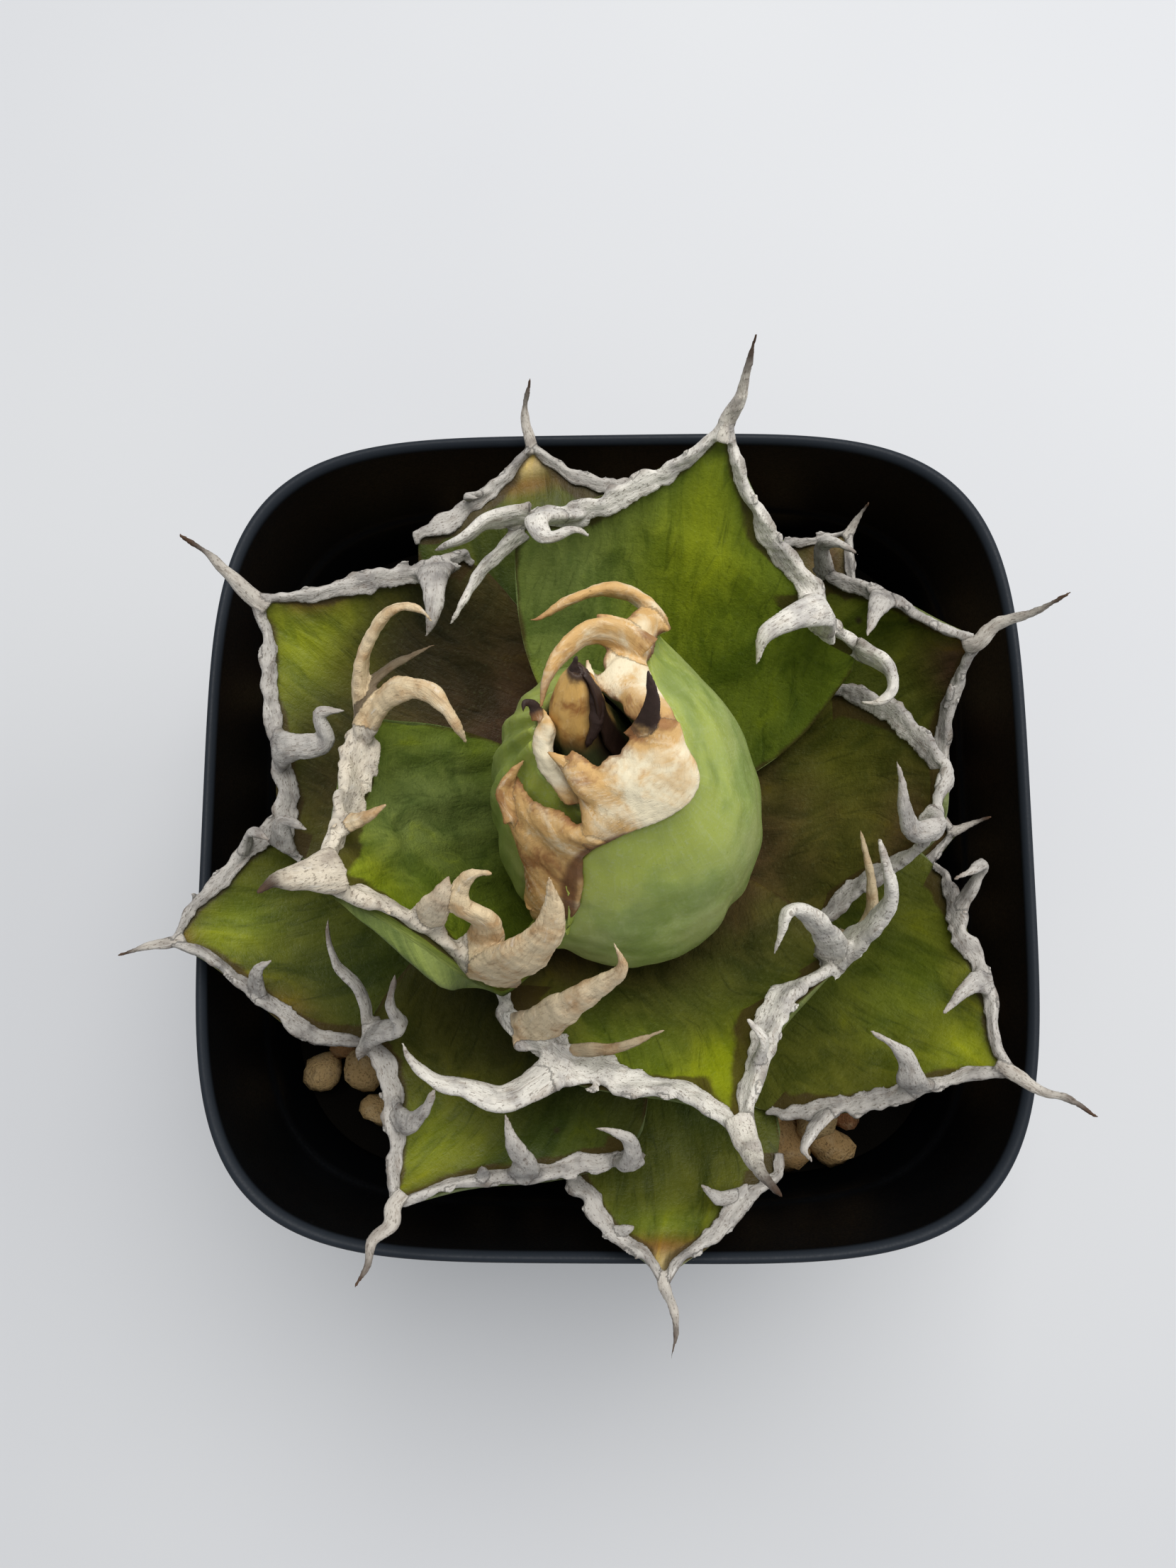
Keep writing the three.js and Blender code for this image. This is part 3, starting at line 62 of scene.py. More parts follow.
# The leaves, youngest first, each in its own frame: out from the stem, to the left, up from the rim's
# plane. A path is written "x y z, x y z". Each margin has two paths: from the stem to the widest
# corner, and on to the apex. A tooth has a side, a radius, a tone from pale over tan to dark (0 to 2)
# and a path.
LEAF_FIELDS = ("name", "azimuth", "border", "sag", "thick", "spine_root", "horn_from", "left",
    "right", "spine", "teeth")
LEAVES = [
    ["leaf_01", 193, 4.8, 5, 5.5, 2, [0.45, 0.48],
        ["5 8 -4, 12 15 6, 16 18 14, 19 19 21", "20 17.5 28, 22 14 33.5, 26 9.5 38, 30 6.5 41, 33 3.5 44"],
        ["5 -8 -4, 14 -14 6, 20 -16 16, 25 -16 26", "28 -16 33, 30 -13 34, 31 -9 36, 32 -2 40.5, 33 2 44"],
        "35 3 47, 37 3 49, 38.5 4 50.5", [
            ["right", 1.45, 1, "28 -16 33, 25 -21 39, 20 -24 43.5, 17 -23 44.5, 16 -21.5 43.5"],
            ["right", 1.6, 1, "28 -15 34, 22 -16 39.5, 18 -14 42.5, 16 -10 42.5, 15.5 -8 40.5"],
            ["right", 0.85, 1.7, "29 -14 34, 27 -16.5 35.5, 24 -19 36.5, 17 -21 37"],
            ["right", 1.1, 0.9, "31 -3 39, 27 -2.5 42.5, 25 -3 43.5"],
            ["left", 1.7, 0.5, "24.5 11 37, 22 8 41, 20 6 43.5"],
            ["left", 2.9, 0.9, "20 17 28, 15 16 38, 11 14 43.5, 10 12 46, 9.5 9 49"],
            ["left", 2, 1, "20.5 16.5 30, 18 11.5 37, 20 9 40, 19 7 42, 17 6.5 43.5, 15.5 7 44"]]],
    ["leaf_02", 75, 3, 5, 6, 0.935, [0.47, 0.47],
        ["5 8 -5, 13 14 4, 20 19 9, 28 22 15", "34 22.5 21, 37 14 24, 41 8 26, 45 2 29, 48 -0.3 31"],
        ["5 -8 -6, 12 -17 -1, 18 -22 4, 24 -24.5 11",
        "28 -26 18, 30 -21 20, 34 -18 21, 38 -11 24, 43 -5 28, 48 -2 31"],
        "50 -2 34, 52 -2 36.5, 55 -2 40", [
            ["left", 1.6, 0, "35 17 23, 31.5 19 26.5, 29 17 28.5, 30.5 13.5 29.5, 30.5 12 28.5"],
            ["left", 1.6, 0, "34 22 21, 31 26 23, 28 28 23.5, 26 32 21"],
            ["left", 1, 0, "28 22 15, 26 26 17, 21 27 18, 18 28 17"],
            ["right", 2.1, 0, "31 -20 21, 29 -18 26.5, 26 -14.5 29.5, 23 -12 30, 20 -12 28"],
            ["right", 1.55, 0, "28 -26 18, 26 -29 19.5, 23 -30 20, 21 -28.5 20.5, 20.5 -26.5 20.5"]]],
    ["leaf_03", -69, 4.7, 4.5, 5.5, 1.35, [0.47, 0.3],
        ["5 8 -8, 12 13 -3, 18 17 3, 23 20 8", "28 21 14, 29.5 15 17, 34 8 20, 37 4 23, 42 -0.3 26.5"],
        ["5 -8 -8, 11 -18 2, 17 -24.5 9.5, 23 -24 13.5",
        "29 -21 17, 33 -14 20, 36 -7 22, 40 -3 25, 42 -1.5 26.5"],
        "44 -1 30, 45 -1 34, 47.5 0 38.5", [
            ["left", 1.8, 0, "28 20 14, 24 17.5 23, 20.5 15 29, 20 13 31, 22 11.5 30.5, 24 10 29"],
            ["left", 1.85, 0, "28 21 14, 26 23 20, 23 26 26, 19 26 30, 16 26 32"],
            ["left", 1.1, 1.3, "28 21 13, 25 24.5 15.5, 21 26 18.5, 14 27 20.5"],
            ["left", 1.1, 0, "36 5 22, 33 5.5 25, 30 4.5 26"],
            ["right", 1.9, 0, "30 -20 17.5, 29 -27 17.5, 26 -31 17.5, 24 -34 18, 20 -36 19, 18 -36 20"],
            ["right", 2.1, 0.8, "23 -23 14, 21 -15 24, 20 -10 29, 19 -7 32.5, 16 -7 34"],
            ["right", 0.95, 1.5, "27 -21.5 15.5, 27 -15 19.5, 28 -11 21.5, 28 -5 22.5"]]],
    ["leaf_04", 150, 2.8, 4, 5.5, 0.96, [0.46, 0.47],
        ["5 7 -10, 15 16 -4, 24 22 0, 32 27 3", "39 28 6, 43 21 9, 47 15 11, 51 10 12.5, 54 4 14, 57 0.3 16"],
        ["5 -7 -10, 16 -15 -5, 25 -19 -1, 32 -21 4",
        "37.5 -22 9, 41 -17 12.5, 45.5 -12.5 14.5, 50 -7 15, 57 -1 16"],
        "60 -1 18, 64 -2 20.5, 67 -2 23", [
            ["right", 1.9, 0, "40 -18 12, 36.5 -14 17.5, 34 -10 19, 33.5 -7 17.5"],
            ["left", 1.9, 0, "46 16 11, 42 14.5 15.5, 38 11.5 17, 40 9 19, 37 7 20"],
            ["left", 1.4, 0, "39 28 6, 39 23.5 10.5, 35.5 23 11"]]],
    ["leaf_05", -4, 3.3, 3.5, 5, 1.53, [0.47, 0.5],
        ["5 7 -12, 13 14 -6, 20 18 -1, 26 20 3",
        "30 21 6, 35 18 12, 38.5 14 16, 41 9 19, 39.5 4 20, 39 0.7 22"],
        ["5 -7 -12, 13 -12 -8, 20 -14 -4, 25 -15 0", "28 -14 4, 33 -9 10, 36.5 -5 16, 39 -0.7 22"],
        "38.5 -1 25, 35 -2 29, 33 0 32.5, 32 3 35, 31 5 36.5", []],
    ["leaf_06", -119, 2.8, 4, 5, 0.96, [0.46, 0.48],
        ["5 7 -14, 17 16 -10, 28 20.5 -5, 35 23 1",
        "40 23.5 7, 43.5 20 8, 47.5 14 10, 52 6 12, 55 2.5 13, 58 -0.3 14"],
        ["5 -7 -14, 17 -13 -10, 28 -16 -5, 37 -17 1", "43 -16 8, 47 -11 8.5, 50 -8 10, 54 -5 11, 58 -1.5 14"],
        "60 0 15, 62.5 -1 16, 65 0 17, 67.5 0 18.5", [
            ["right", 1.35, 0, "50 -8 10, 48 -4 15, 45 -3 18, 42 -3 20.5"],
            ["right", 1.6, 0, "43 -16 8, 40 -13 14, 38 -11 16.5, 36 -13 19.5, 32 -14 22.5"],
            ["right", 1.1, 0, "42.5 -16 7.5, 38.5 -18 9.5, 37 -20 10.5, 36 -23 11.5, 33 -26 12.5, 31 -27 13"],
            ["left", 1.6, 0, "48.5 12 10.5, 45 11 16, 43 8.5 19.5, 40 6 21.5"],
            ["left", 0.9, 0, "51 8 11.5, 48 6.5 16"],
            ["left", 1.5, 0, "40.5 23 7.5, 39 23 13, 36 21 17.5, 36 18 19.5, 36.5 16.5 20"]]],
    ["leaf_07", 103, 2.5, 3, 4.5, 0.78, [0.48, 0.48],
        ["5 7 -16, 18 14 -12, 30 18 -6, 40 20 0", "48 20 4, 51 13 2.5, 54 6 2.5, 57 0.7 3.5"],
        ["5 -7 -16, 18 -13 -12, 30 -16 -6, 40 -17 0", "47 -16 4, 51 -8 2.5, 54 -4 2.5, 57 -0.7 3.5"],
        "61 0 5, 63 -1 7, 64.5 -2 9", [
            ["left", 0.9, 0, "53 9 2.5, 51 11 5, 49.5 9 7"]]],
    ["leaf_08", -34, 2.8, 3.5, 5, 0.84, [0.47, 0.47],
        ["5 7 -18, 18 14 -14, 29 19 -9, 37 21 -5",
        "43 20.5 -1, 48 14.5 5, 51.5 12 6, 55 8 8, 58.5 2.5 10, 61 0.6 11"],
        ["5 -7 -18, 18 -15 -14, 29 -21 -9, 37 -23 -5",
        "42 -22.5 -1.5, 48 -17 3, 52 -12 6, 56 -6 8, 58.5 -3 9.5, 61 -0.6 11"],
        "65 0 12, 68 1 13, 72 1 13.5", [
            ["right", 1.6, 0, "54 -9 7, 50.5 -8 12, 47 -6 15.5, 42 -6 16.5"],
            ["left", 1.4, 0, "54 9.5 7.5, 50.5 6.5 12, 49 1 14"],
            ["left", 1.1, 0, "47 16 4, 45 22 6.5, 43 19 9.5, 42 17.5 10"],
            ["right", 1.2, 0, "47 -18 2, 45 -21.5 5, 45 -23.5 6.5, 46.5 -24 8"]]],
    ["leaf_09", -163, 2.5, 3, 4.5, 0.72, [0.47, 0.47],
        ["5 7 -20, 18 14 -17, 30 18 -11, 38 20 -6",
        "45 20 -2.5, 51 17 1, 54 13 3, 57 8 4, 60 2.5 6, 64 -0.8 7"],
        ["5 -7 -20, 18 -13 -17, 30 -16 -11, 39 -17 -5", "46 -17 -0.5, 52 -13 3, 57 -9 5, 61 -6 6, 64 -2.4 7"],
        "67 -2 7, 71.5 -2 7.5", [
            ["left", 1.2, 0, "56 9 4, 53 5.5 8.5, 50.5 5 9.5"],
            ["right", 1.2, 0, "53 -12 3.5, 49.5 -13 7, 47 -11 8.5"]]],
    ["leaf_10", 25, 2.5, 3, 4.5, 0.84, [0.47, 0.47],
        ["5 7 -22, 18 14 -18, 30 19 -12, 38 21 -5", "43 21 1, 47 15 5, 49 8 9, 51 4 11, 53 0.6 13"],
        ["5 -7 -22, 18 -13 -18, 30 -16 -12, 39 -16 -5",
        "45 -15 0, 47.5 -9 3, 50 -5 6.5, 51.5 -2 10, 53 -0.6 13"],
        "56 1 15, 60 0 18, 64 0 21", [
            ["left", 1.6, 0, "48 13 6, 44 10.5 11.5, 40 7 14"],
            ["left", 1.2, 0, "43 21 1, 43 23 6, 44 22 8, 46 19 8.5"],
            ["right", 0.8, 0, "50 -6 5, 49 -3 8.5"]]],
    ["leaf_11", -85, 2.5, 1.6, 3.6, 0.72, [0.47, 0.47],
        ["5 6 -22, 20 13 -18, 34 17 -10, 44 18.5 -4",
        "51 18 -0.5, 54.5 12 3.5, 57.5 8 5, 59.5 3 6.5, 61.5 0.6 7.5"],
        ["5 -6 -22, 20 -12 -18, 33 -14 -10, 42 -14.5 -4",
        "48 -13 -1, 52.5 -10 2, 55.5 -8 3.5, 58.5 -3 6, 61.5 -0.6 7.5"],
        "65 1 6.5, 67.5 1 7.5, 70.5 0 9", [
            ["left", 1.1, 0, "55 12 0.5, 52 8.5 5, 49.5 6 8"],
            ["right", 0.9, 0, "57 -6 2, 54.5 -3 6"]]],
    ["leaf_12", -2.5, 2, 2, 3.5, 0.66, [0.47, 0.47],
        ["5 6 -22.5, 19 10 -19, 32 13 -13", "40 13 -9, 45 7 -7, 49 1.6 -5"],
        ["5 -6 -22.5, 19 -10 -19, 32 -13 -13", "40 -12 -9, 45 -6 -7, 49 0.4 -5"],
        "51 2 -3.5, 53.5 3 -1.5", []],
    ["leaf_13", 51, 2, 2, 3.5, 0.66, [0.47, 0.47],
        ["5 6 -23, 20 11 -19, 34 14 -13", "45 14 -8, 51 8 -7, 57 1.4 -5"],
        ["5 -6 -23, 20 -11 -19, 34 -13 -13", "45 -13 -8.5, 51 -6 -7, 57 0.2 -5"],
        "59 1 -3.5, 61 1 -1", []],
]
# Where a leaf departs from the rule: how deep its folds are, how far its underside bulges, how much
# its horny strips lean.
FOLDS = {"leaf_01": 0.55, "leaf_02": 0.25}
BELLY = {"leaf_01": 7}
LEAN = {"leaf_01": 0.2}

# Soft patches of colour on each blade: [across, along, spread across, spread along, colour, strength];
# the dark green and near black patches are painted shade, deep in the rosette and between the leaves.
PATCHES = {
    "leaf_01": [FRESH, [0, 0.15, 2, 0.25, SHADED_GREEN, 0.6], [0.1, 0.72, 0.7, 0.22, YELLOW, 0.7],
        [-0.4, 0.45, 0.5, 0.3, BLOOM, 0.5]],
    "leaf_02": [FRESH, [0, 0.08, 2, 0.2, SHADED_GREEN, 0.8], [0.1, 0.62, 0.4, 0.26, YELLOW, 0.9],
        [0.75, 0.45, 0.4, 0.3, BLOOM, 0.45], [-0.75, 0.5, 0.3, 0.2, SHADED_GREEN, 0.3],
        [0, 0.99, 0.7, 0.06, OLIVE, 0.7]],
    "leaf_03": [OLIVE, [0, 0.12, 2, 0.3, PURPLE, 0.9], [0.2, 0.45, 0.9, 0.2, SHADED_GREEN, 0.5],
        [0.1, 0.76, 0.8, 0.18, YELLOW, 1.0], [-0.6, 0.55, 0.4, 0.2, FRESH, 0.6],
        [0, 0.97, 0.5, 0.04, RUST, 0.9]],
    "leaf_04": [OLIVE, [0, 0.2, 2, 0.3, PURPLE, 0.95], [0.1, 0.8, 0.7, 0.14, YELLOW, 0.8],
        [-0.5, 0.5, 0.7, 0.2, SHADOW_BLACK, 0.75], [0.5, 0.55, 0.3, 0.2, SHADOW_BLACK, 0.5],
        [-0.7, 0.86, 0.3, 0.08, RUST, 0.6]],
    "leaf_05": [OLIVE, [0, 0.15, 2, 0.33, PURPLE, 0.95], [0.5, 0.5, 0.4, 0.25, OLIVE, 0.8],
        [-0.2, 0.8, 0.8, 0.15, PURPLE, 0.75]],
    "leaf_06": [OLIVE, [0, 0.2, 2, 0.36, SHADOW_BLACK, 0.8], [0.6, 0.6, 0.5, 0.3, SHADED_GREEN, 0.75],
        [-0.3, 0.75, 0.5, 0.16, YELLOW, 0.75]],
    "leaf_07": [OLIVE, [0, 0.3, 2, 0.3, SHADED_GREEN, 0.9], [0, 0.78, 0.9, 0.06, RUST, 0.55],
        [0, 0.92, 1.2, 0.08, STRAW, 1.0]],
    "leaf_08": [OLIVE, [0, 0.2, 2, 0.3, SHADED_GREEN, 0.9], [0.3, 0.6, 0.5, 0.15, FRESH, 0.6],
        [-0.7, 0.6, 0.4, 0.3, OLIVE, 0.7], [-0.1, 0.84, 0.6, 0.14, YELLOW, 0.75],
        [0.5, 0.5, 0.5, 0.2, OLIVE, 0.35]],
    "leaf_09": [OLIVE, [0, 0.2, 2, 0.3, SHADED_GREEN, 0.95], [-0.2, 0.75, 0.4, 0.15, FRESH, 0.6],
        [0.1, 0.85, 0.5, 0.12, YELLOW, 0.6], [0.8, 0.8, 0.25, 0.2, RUST, 0.6],
        [0, 0.98, 0.9, 0.06, RUST, 0.6], [0.6, 0.5, 0.5, 0.2, SHADED_GREEN, 0.4]],
    "leaf_10": [OLIVE, [0, 0.2, 2, 0.3, SHADED_GREEN, 0.9], [-0.4, 0.82, 0.7, 0.16, PURPLE, 0.9],
        [0, 0.97, 0.8, 0.05, RUST, 0.9], [0.5, 0.6, 0.4, 0.2, FRESH, 0.4]],
    "leaf_11": [OLIVE, [0, 0.2, 2, 0.3, SHADED_GREEN, 0.9], [0, 0.72, 0.8, 0.1, FRESH, 0.5],
        [0, 0.84, 0.9, 0.06, RUST, 0.7], [0.1, 0.92, 0.8, 0.06, STRAW, 0.55]],
    "leaf_12": [OLIVE, [0, 0.3, 2, 0.3, SHADED_GREEN, 0.9], [0, 0.9, 0.8, 0.2, PURPLE, 0.8]],
    "leaf_13": [OLIVE, [0, 0.3, 2, 0.3, SHADED_GREEN, 0.9], [0, 0.8, 0.8, 0.2, PURPLE, 0.8],
        [0, 0.96, 0.8, 0.06, STRAW, 0.7]],
}


def knots(text):
    """The points of a path written as text."""
    return np.array([point.split() for point in text.split(",")], float)


def bend(points, at):
    """A centripetal Catmull-Rom curve through points (knots, ..., 3), read where `at` runs from 0 to
    1 over its spans: each span is the cubic whose end slopes weigh its neighbours by the square
    roots of their distances."""
    p = np.asarray(points, float)
    p = np.concatenate([2 * p[:1] - p[1:2], p, 2 * p[-1:] - p[-2:-1]])
    apart = np.maximum(norm(np.diff(p, axis=0), axis=-1, keepdims=True), 1e-6) ** 0.5
    spans = len(p) - 3
    place = np.asarray(at, float) * spans
    i = np.clip(place.astype(int), 0, spans - 1)
    w = (place - i).reshape((-1,) + (1,) * (p.ndim - 1))
    a, b, c, d = p[i], p[i + 1], p[i + 2], p[i + 3]
    ab, bc, cd = apart[i], apart[i + 1], apart[i + 2]
    leave = ((b - a) / ab - (c - a) / (ab + bc) + (c - b) / bc) * bc
    reach = ((c - b) / bc - (d - b) / (bc + cd) + (d - c) / cd) * bc
    return (2 * b - 2 * c + leave + reach) * w**3 + (3 * c - 3 * b - 2 * leave - reach) * w**2 + leave * w + b


def way_along(line):
    """The way from a line's first point to each of its points."""
    return np.cumsum(norm(np.diff(line, axis=0, prepend=line[:1]), axis=1))


def measured(points, count=240):
    """The same curve as a dense line of points, with the share of its length at each one."""
    line = bend(points, np.linspace(0, 1, count))
    length = way_along(line)
    return line, length / length[-1], length[-1]


def along(curve, share):
    """Points of a measured curve at shares of its length."""
    line, length, _ = curve
    return np.stack([np.interp(share, length, line[:, k]) for k in range(3)], -1)


def unit(vectors):
    """Vectors scaled to length one."""
    return vectors / np.maximum(norm(vectors, axis=-1, keepdims=True), 1e-9)


def lumps(points, size, seed, octaves=3):
    """Smooth noise between about -1 and 1: sine waves with seeded directions and phases, lengths near
    `size` and halved at each octave, summed with falling weights."""
    rng = np.random.default_rng(seed)
    total = np.zeros(points.shape[:-1])
    for octave in range(octaves):
        for _ in range(5):
            way = rng.normal(size=3)
            way *= 2 * math.pi / (size * 0.5**octave * rng.uniform(0.7, 1.4) * norm(way))
            total += 0.55**octave * np.sin(points @ way + rng.uniform(0, 6.28))
    return total / 3.2


def ripple(length, size, seed):
    """The same kind of noise along a line, where `length` is the way along it."""
    flat = np.stack([length, np.full_like(length, 7.0 * seed), np.zeros_like(length)], -1)
    return lumps(flat, size, seed, 2)


def quads(rows, sides, first=0, closed=True):
    """Faces between rings that lie one after another: corner (k, j), its neighbour along the ring,
    and the same two in the next ring."""
    k, j = np.meshgrid(np.arange(rows - 1), np.arange(sides if closed else sides - 1), indexing="ij")
    here, there = k * sides + j, k * sides + (j + 1) % sides
    return (np.stack([here, there, there + sides, here + sides], -1) + first).reshape(-1, 4)


def ladder(first, sides, columns, flip):
    """Faces that close a flat end: rungs between the two halves of a ring of `sides` corners."""
    j = np.arange(columns)
    rungs = np.stack([j, j + 1, sides - 2 - j, sides - 1 - j], -1) + first
    return rungs[:, ::-1] if flip else rungs


def sheet_faces(rows, columns):
    """Faces of a closed sheet: its two sides make one ring in each row, and both ends are closed."""
    sides = 2 * columns
    return np.concatenate([quads(rows, sides), ladder(0, sides, columns - 1, True),
        ladder((rows - 1) * sides, sides, columns - 1, False)])


def mesh_piece(name, points, faces, marks=None, finish=None, scale=MM, shift=PLANT):
    """Puts points (n, 3) and four-cornered faces into a mesh object, with `marks` as attributes."""
    mesh = bpy.data.meshes.new(name)
    place = ((points + shift) * scale).astype(np.float32)
    mesh.vertices.add(len(place))
    mesh.vertices.foreach_set("co", place.ravel())
    mesh.loops.add(faces.size)
    mesh.loops.foreach_set("vertex_index", faces.ravel().astype(np.int32))
    mesh.polygons.add(len(faces))
    mesh.polygons.foreach_set("loop_start", np.arange(0, faces.size, 4, dtype=np.int32))
    mesh.update(calc_edges=True)
    mesh.polygons.foreach_set("use_smooth", np.full(len(mesh.polygons), True))
    for mark, values in (marks or {}).items():
        values = np.asarray(values, np.float32).reshape(len(place), -1)
        if values.shape[1] == 1:
            mesh.attributes.new(mark, "FLOAT", "POINT").data.foreach_set("value", values.ravel())
        elif mark == "paint":
            full = np.hstack([values, np.ones((len(values), 1), np.float32)])
            mesh.attributes.new(mark, "FLOAT_COLOR", "POINT").data.foreach_set("color", full.ravel())
        else:
            mesh.attributes.new(mark, "FLOAT_VECTOR", "POINT").data.foreach_set("vector", values.ravel())
    piece = bpy.data.objects.new(name, mesh)
    bpy.context.scene.collection.objects.link(piece)
    if finish:
        mesh.materials.append(finish)
    return piece


def face_out(piece):
    """Turns all faces of a closed piece outwards."""
    shell = bmesh.new()
    shell.from_mesh(piece.data)
    bmesh.ops.recalc_face_normals(shell, faces=shell.faces)
    shell.to_mesh(piece.data)
    shell.free()
    return piece


def grown_together(parts, voxel):
    """One skin round overlapping closed parts, each (points, faces): a voxel remesh of them all in
    millimetres, evened by a few smoothing rounds. Gives points, faces and normals."""
    start = np.cumsum([0] + [len(points) for points, _ in parts])
    points = np.concatenate([points for points, _ in parts])
    faces = np.concatenate([faces + first for (_, faces), first in zip(parts, start)])
    raw = mesh_piece("raw", points, faces, scale=1, shift=0)
    remesh = raw.modifiers.new("fuse", "REMESH")
    remesh.mode = "VOXEL"
    remesh.voxel_size = voxel
    even = raw.modifiers.new("even", "SMOOTH")
    even.factor = 0.5
    even.iterations = 2
    seen = raw.evaluated_get(bpy.context.evaluated_depsgraph_get())
    mesh = bpy.data.meshes.new_from_object(seen)
    co = np.empty(len(mesh.vertices) * 3, np.float32)
    mesh.vertices.foreach_get("co", co)
    normals = np.empty(len(mesh.vertices) * 3, np.float32)
    mesh.vertices.foreach_get("normal", normals)
    corners = np.empty(len(mesh.loops), np.int32)
    mesh.loops.foreach_get("vertex_index", corners)
    bpy.data.objects.remove(raw)
    bpy.data.meshes.remove(mesh)
    return co.reshape(-1, 3).astype(float), corners.reshape(-1, 4), normals.reshape(-1, 3).astype(float)


class Leaf:
    """A leaf's surface: across it u runs from -1 at the right margin to 1 at the left one, along it
    t runs from 0 at the stem over 0.5 at the widest corners to 1 at the apex."""

    def __init__(self, row):
        turn = math.radians(row["azimuth"])
        ahead, left = math.cos(turn), math.sin(turn)
        self.turn = np.array([[ahead, left, 0], [-left, ahead, 0], [0, 0, 1]])
        self.row = row
        self.lines = {}
        for side in ("left", "right"):
            low, top = map(self.placed, row[side])
            self.lines[side] = measured(np.concatenate([low, top[:1]])), measured(top)

    def placed(self, text):
        return knots(text) @ self.turn

    def margin(self, side, t):
        low, top = self.lines[side]
        lower, upper = along(low, np.clip(2 * t, 0, 1)), along(top, np.clip(2 * t - 1, 0, 1))
        return np.where(np.asarray(t)[..., None] <= 0.5, lower, upper)

    def centre(self, t):
        return (self.margin("left", t) + self.margin("right", t)) / 2

    def half(self, t):
        return (self.margin("left", t) - self.margin("right", t)) / 2

    def face(self, u, t):
        """The middle between the margins, out along u, sunk by a parabola that fades to the apex."""
        ahead = self.centre(np.minimum(1, t + 0.04)) - self.centre(np.maximum(0, t - 0.04))
        up = unit(np.cross(ahead, self.half(t)))
        dip = self.row["sag"] * np.sqrt(np.maximum(0, 1 - t)) * (1 - u * u)
        return self.centre(t) + self.half(t) * u[..., None] - up * dip[..., None]

    def normal(self, u, t, e=0.03):
        ahead = self.face(u, np.minimum(1, t + e)) - self.face(u, np.maximum(0, t - e))
        return unit(np.cross(ahead, self.face(u + e, t) - self.face(u - e, t)))


def blade(leaf, finish, columns=50, rows=74):
    """The green blade: a closed sheet whose upper face is the leaf's surface, run in under the horny
    strips, and whose lower face lies under it by a lens of thickness; fine noise lumps both."""
    row = leaf.row
    seed = int(row["name"][-2:])
    t = np.linspace(0, 1, rows)[:, None] * np.ones(columns)
    v = np.sin(np.linspace(-0.5, 0.5, columns) * math.pi * 0.94) / math.sin(0.47 * math.pi)
    span = norm(leaf.half(t[:, 0]), axis=1)[:, None]
    tuck = {}
    for side, start in zip(("left", "right"), row["horn_from"]):
        tuck[side] = 0.5 * row["border"] * np.clip((t - start + 0.03) / 0.06, 0, 1) / np.maximum(span, 1)
    low, high = np.minimum(-1 + tuck["right"], -0.05), np.maximum(1 - tuck["left"], 0.05)
    u = low + (high - low) * (v + 1) / 2
    face, normal = leaf.face(u, t), leaf.normal(u, t)
    round_off = 0.5 * np.abs(v) ** 10
    loose = (1 - np.abs(v) ** 4)[None, :, None] * np.ones((rows - 2, 1, 1))
    for _ in range(70):
        face[1:-1] += 0.5 * loose * ((face[2:] + face[:-2]) / 2 - face[1:-1])
        normal[1:-1] += 0.5 * loose * ((normal[2:] + normal[:-2]) / 2 - normal[1:-1])
    normal = unit(normal)
    thick = 1.1 + row["thick"] * (1 - t) ** 0.8 * np.maximum(0, 1 - u * u) ** 1.4
    length = way_along(leaf.centre(t[:, 0]))[:, None] * np.ones(columns)
    folds = lumps(np.stack([u * span, 0.13 * length, 0 * u], -1), 3.6, seed + 60, 2) * (1 - v**6)
    swell = 0.22 * lumps(face, 17, seed) + 0.05 * lumps(face, 5, seed + 40)
    swell += FOLDS.get(row["name"], 0.16) * folds
    upper = face + normal * (swell - round_off - 0.12)[..., None]
    lower = face - normal * (thick - round_off - 0.3 * swell)[..., None]
    belly = BELLY.get(row["name"], 0) * np.exp(-(((v - 0.72) / 0.3) ** 2) - ((t - 0.64) / 0.2) ** 2)
    lower += unit(leaf.half(t)) * belly[..., None]
    rings = np.concatenate([upper, lower[:, ::-1]], 1)
    faces = sheet_faces(rows, columns)
    base, *spots = PATCHES[row["name"]]
    paint = np.ones(rings.shape) * np.array(base)
    uu, tt = np.concatenate([u, u[:, ::-1]], 1), np.concatenate([t, t], 1)
    stray = 0.12 * lumps(rings, 12, seed + 7)
    for across, ahead, wide, deep, colour, strength in spots:
        near = strength * np.exp(-(((uu - across) / wide + stray) ** 2) - ((tt - ahead) / deep + stray) ** 2)
        paint += (np.array(colour) - paint) * np.clip(near, 0, 1)[..., None]
    under = np.concatenate([np.zeros(t.shape), np.ones(t.shape)], 1)
    paint += (np.array(BLOOM) * 0.8 - paint) * 0.6 * under[..., None]
    rims = []
    for side, start, apart in (("left", row["horn_from"][0], 1 - uu), ("right", row["horn_from"][1], 1 + uu)):
        edge = unit(np.gradient(leaf.margin(side, t[:, 0]), axis=0))
        square = norm(np.cross(edge, unit(leaf.half(t[:, 0]))), axis=1)[:, None]
        share = np.clip((tt - start) / (1 - start), 0, 1)
        rims.append(apart * span * square - (1.2 - 0.8 * share**1.5) * row["border"] * (tt > start))
    rim = np.minimum(*rims)
    grain = np.stack([uu * span, np.concatenate([length, length], 1), under * 20], -1)
    marks = {"paint": paint.reshape(-1, 3), "rim": (rim + 9 * under).ravel(), "grain": grain.reshape(-1, 3)}
    piece = face_out(mesh_piece(row["name"] + "_green", rings.reshape(-1, 3), faces, marks, finish))
    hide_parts(row["name"] + "_blade")
    return piece


# Across a horny strip, from its outer edge to its inner one: [share of its width, height].
STRIP_TOP = np.array([[0, 0.1], [0.05, 0.5], [0.17, 0.78], [0.4, 0.62], [0.65, 0.42], [0.87, 0.3], [1, 0.02]])
STRIP_UNDER = np.array([[0.94, -0.35], [0.7, -0.75], [0.42, -1.15], [0.16, -0.95], [0.02, -0.4]])
STRIP = np.concatenate([STRIP_TOP, STRIP_UNDER])


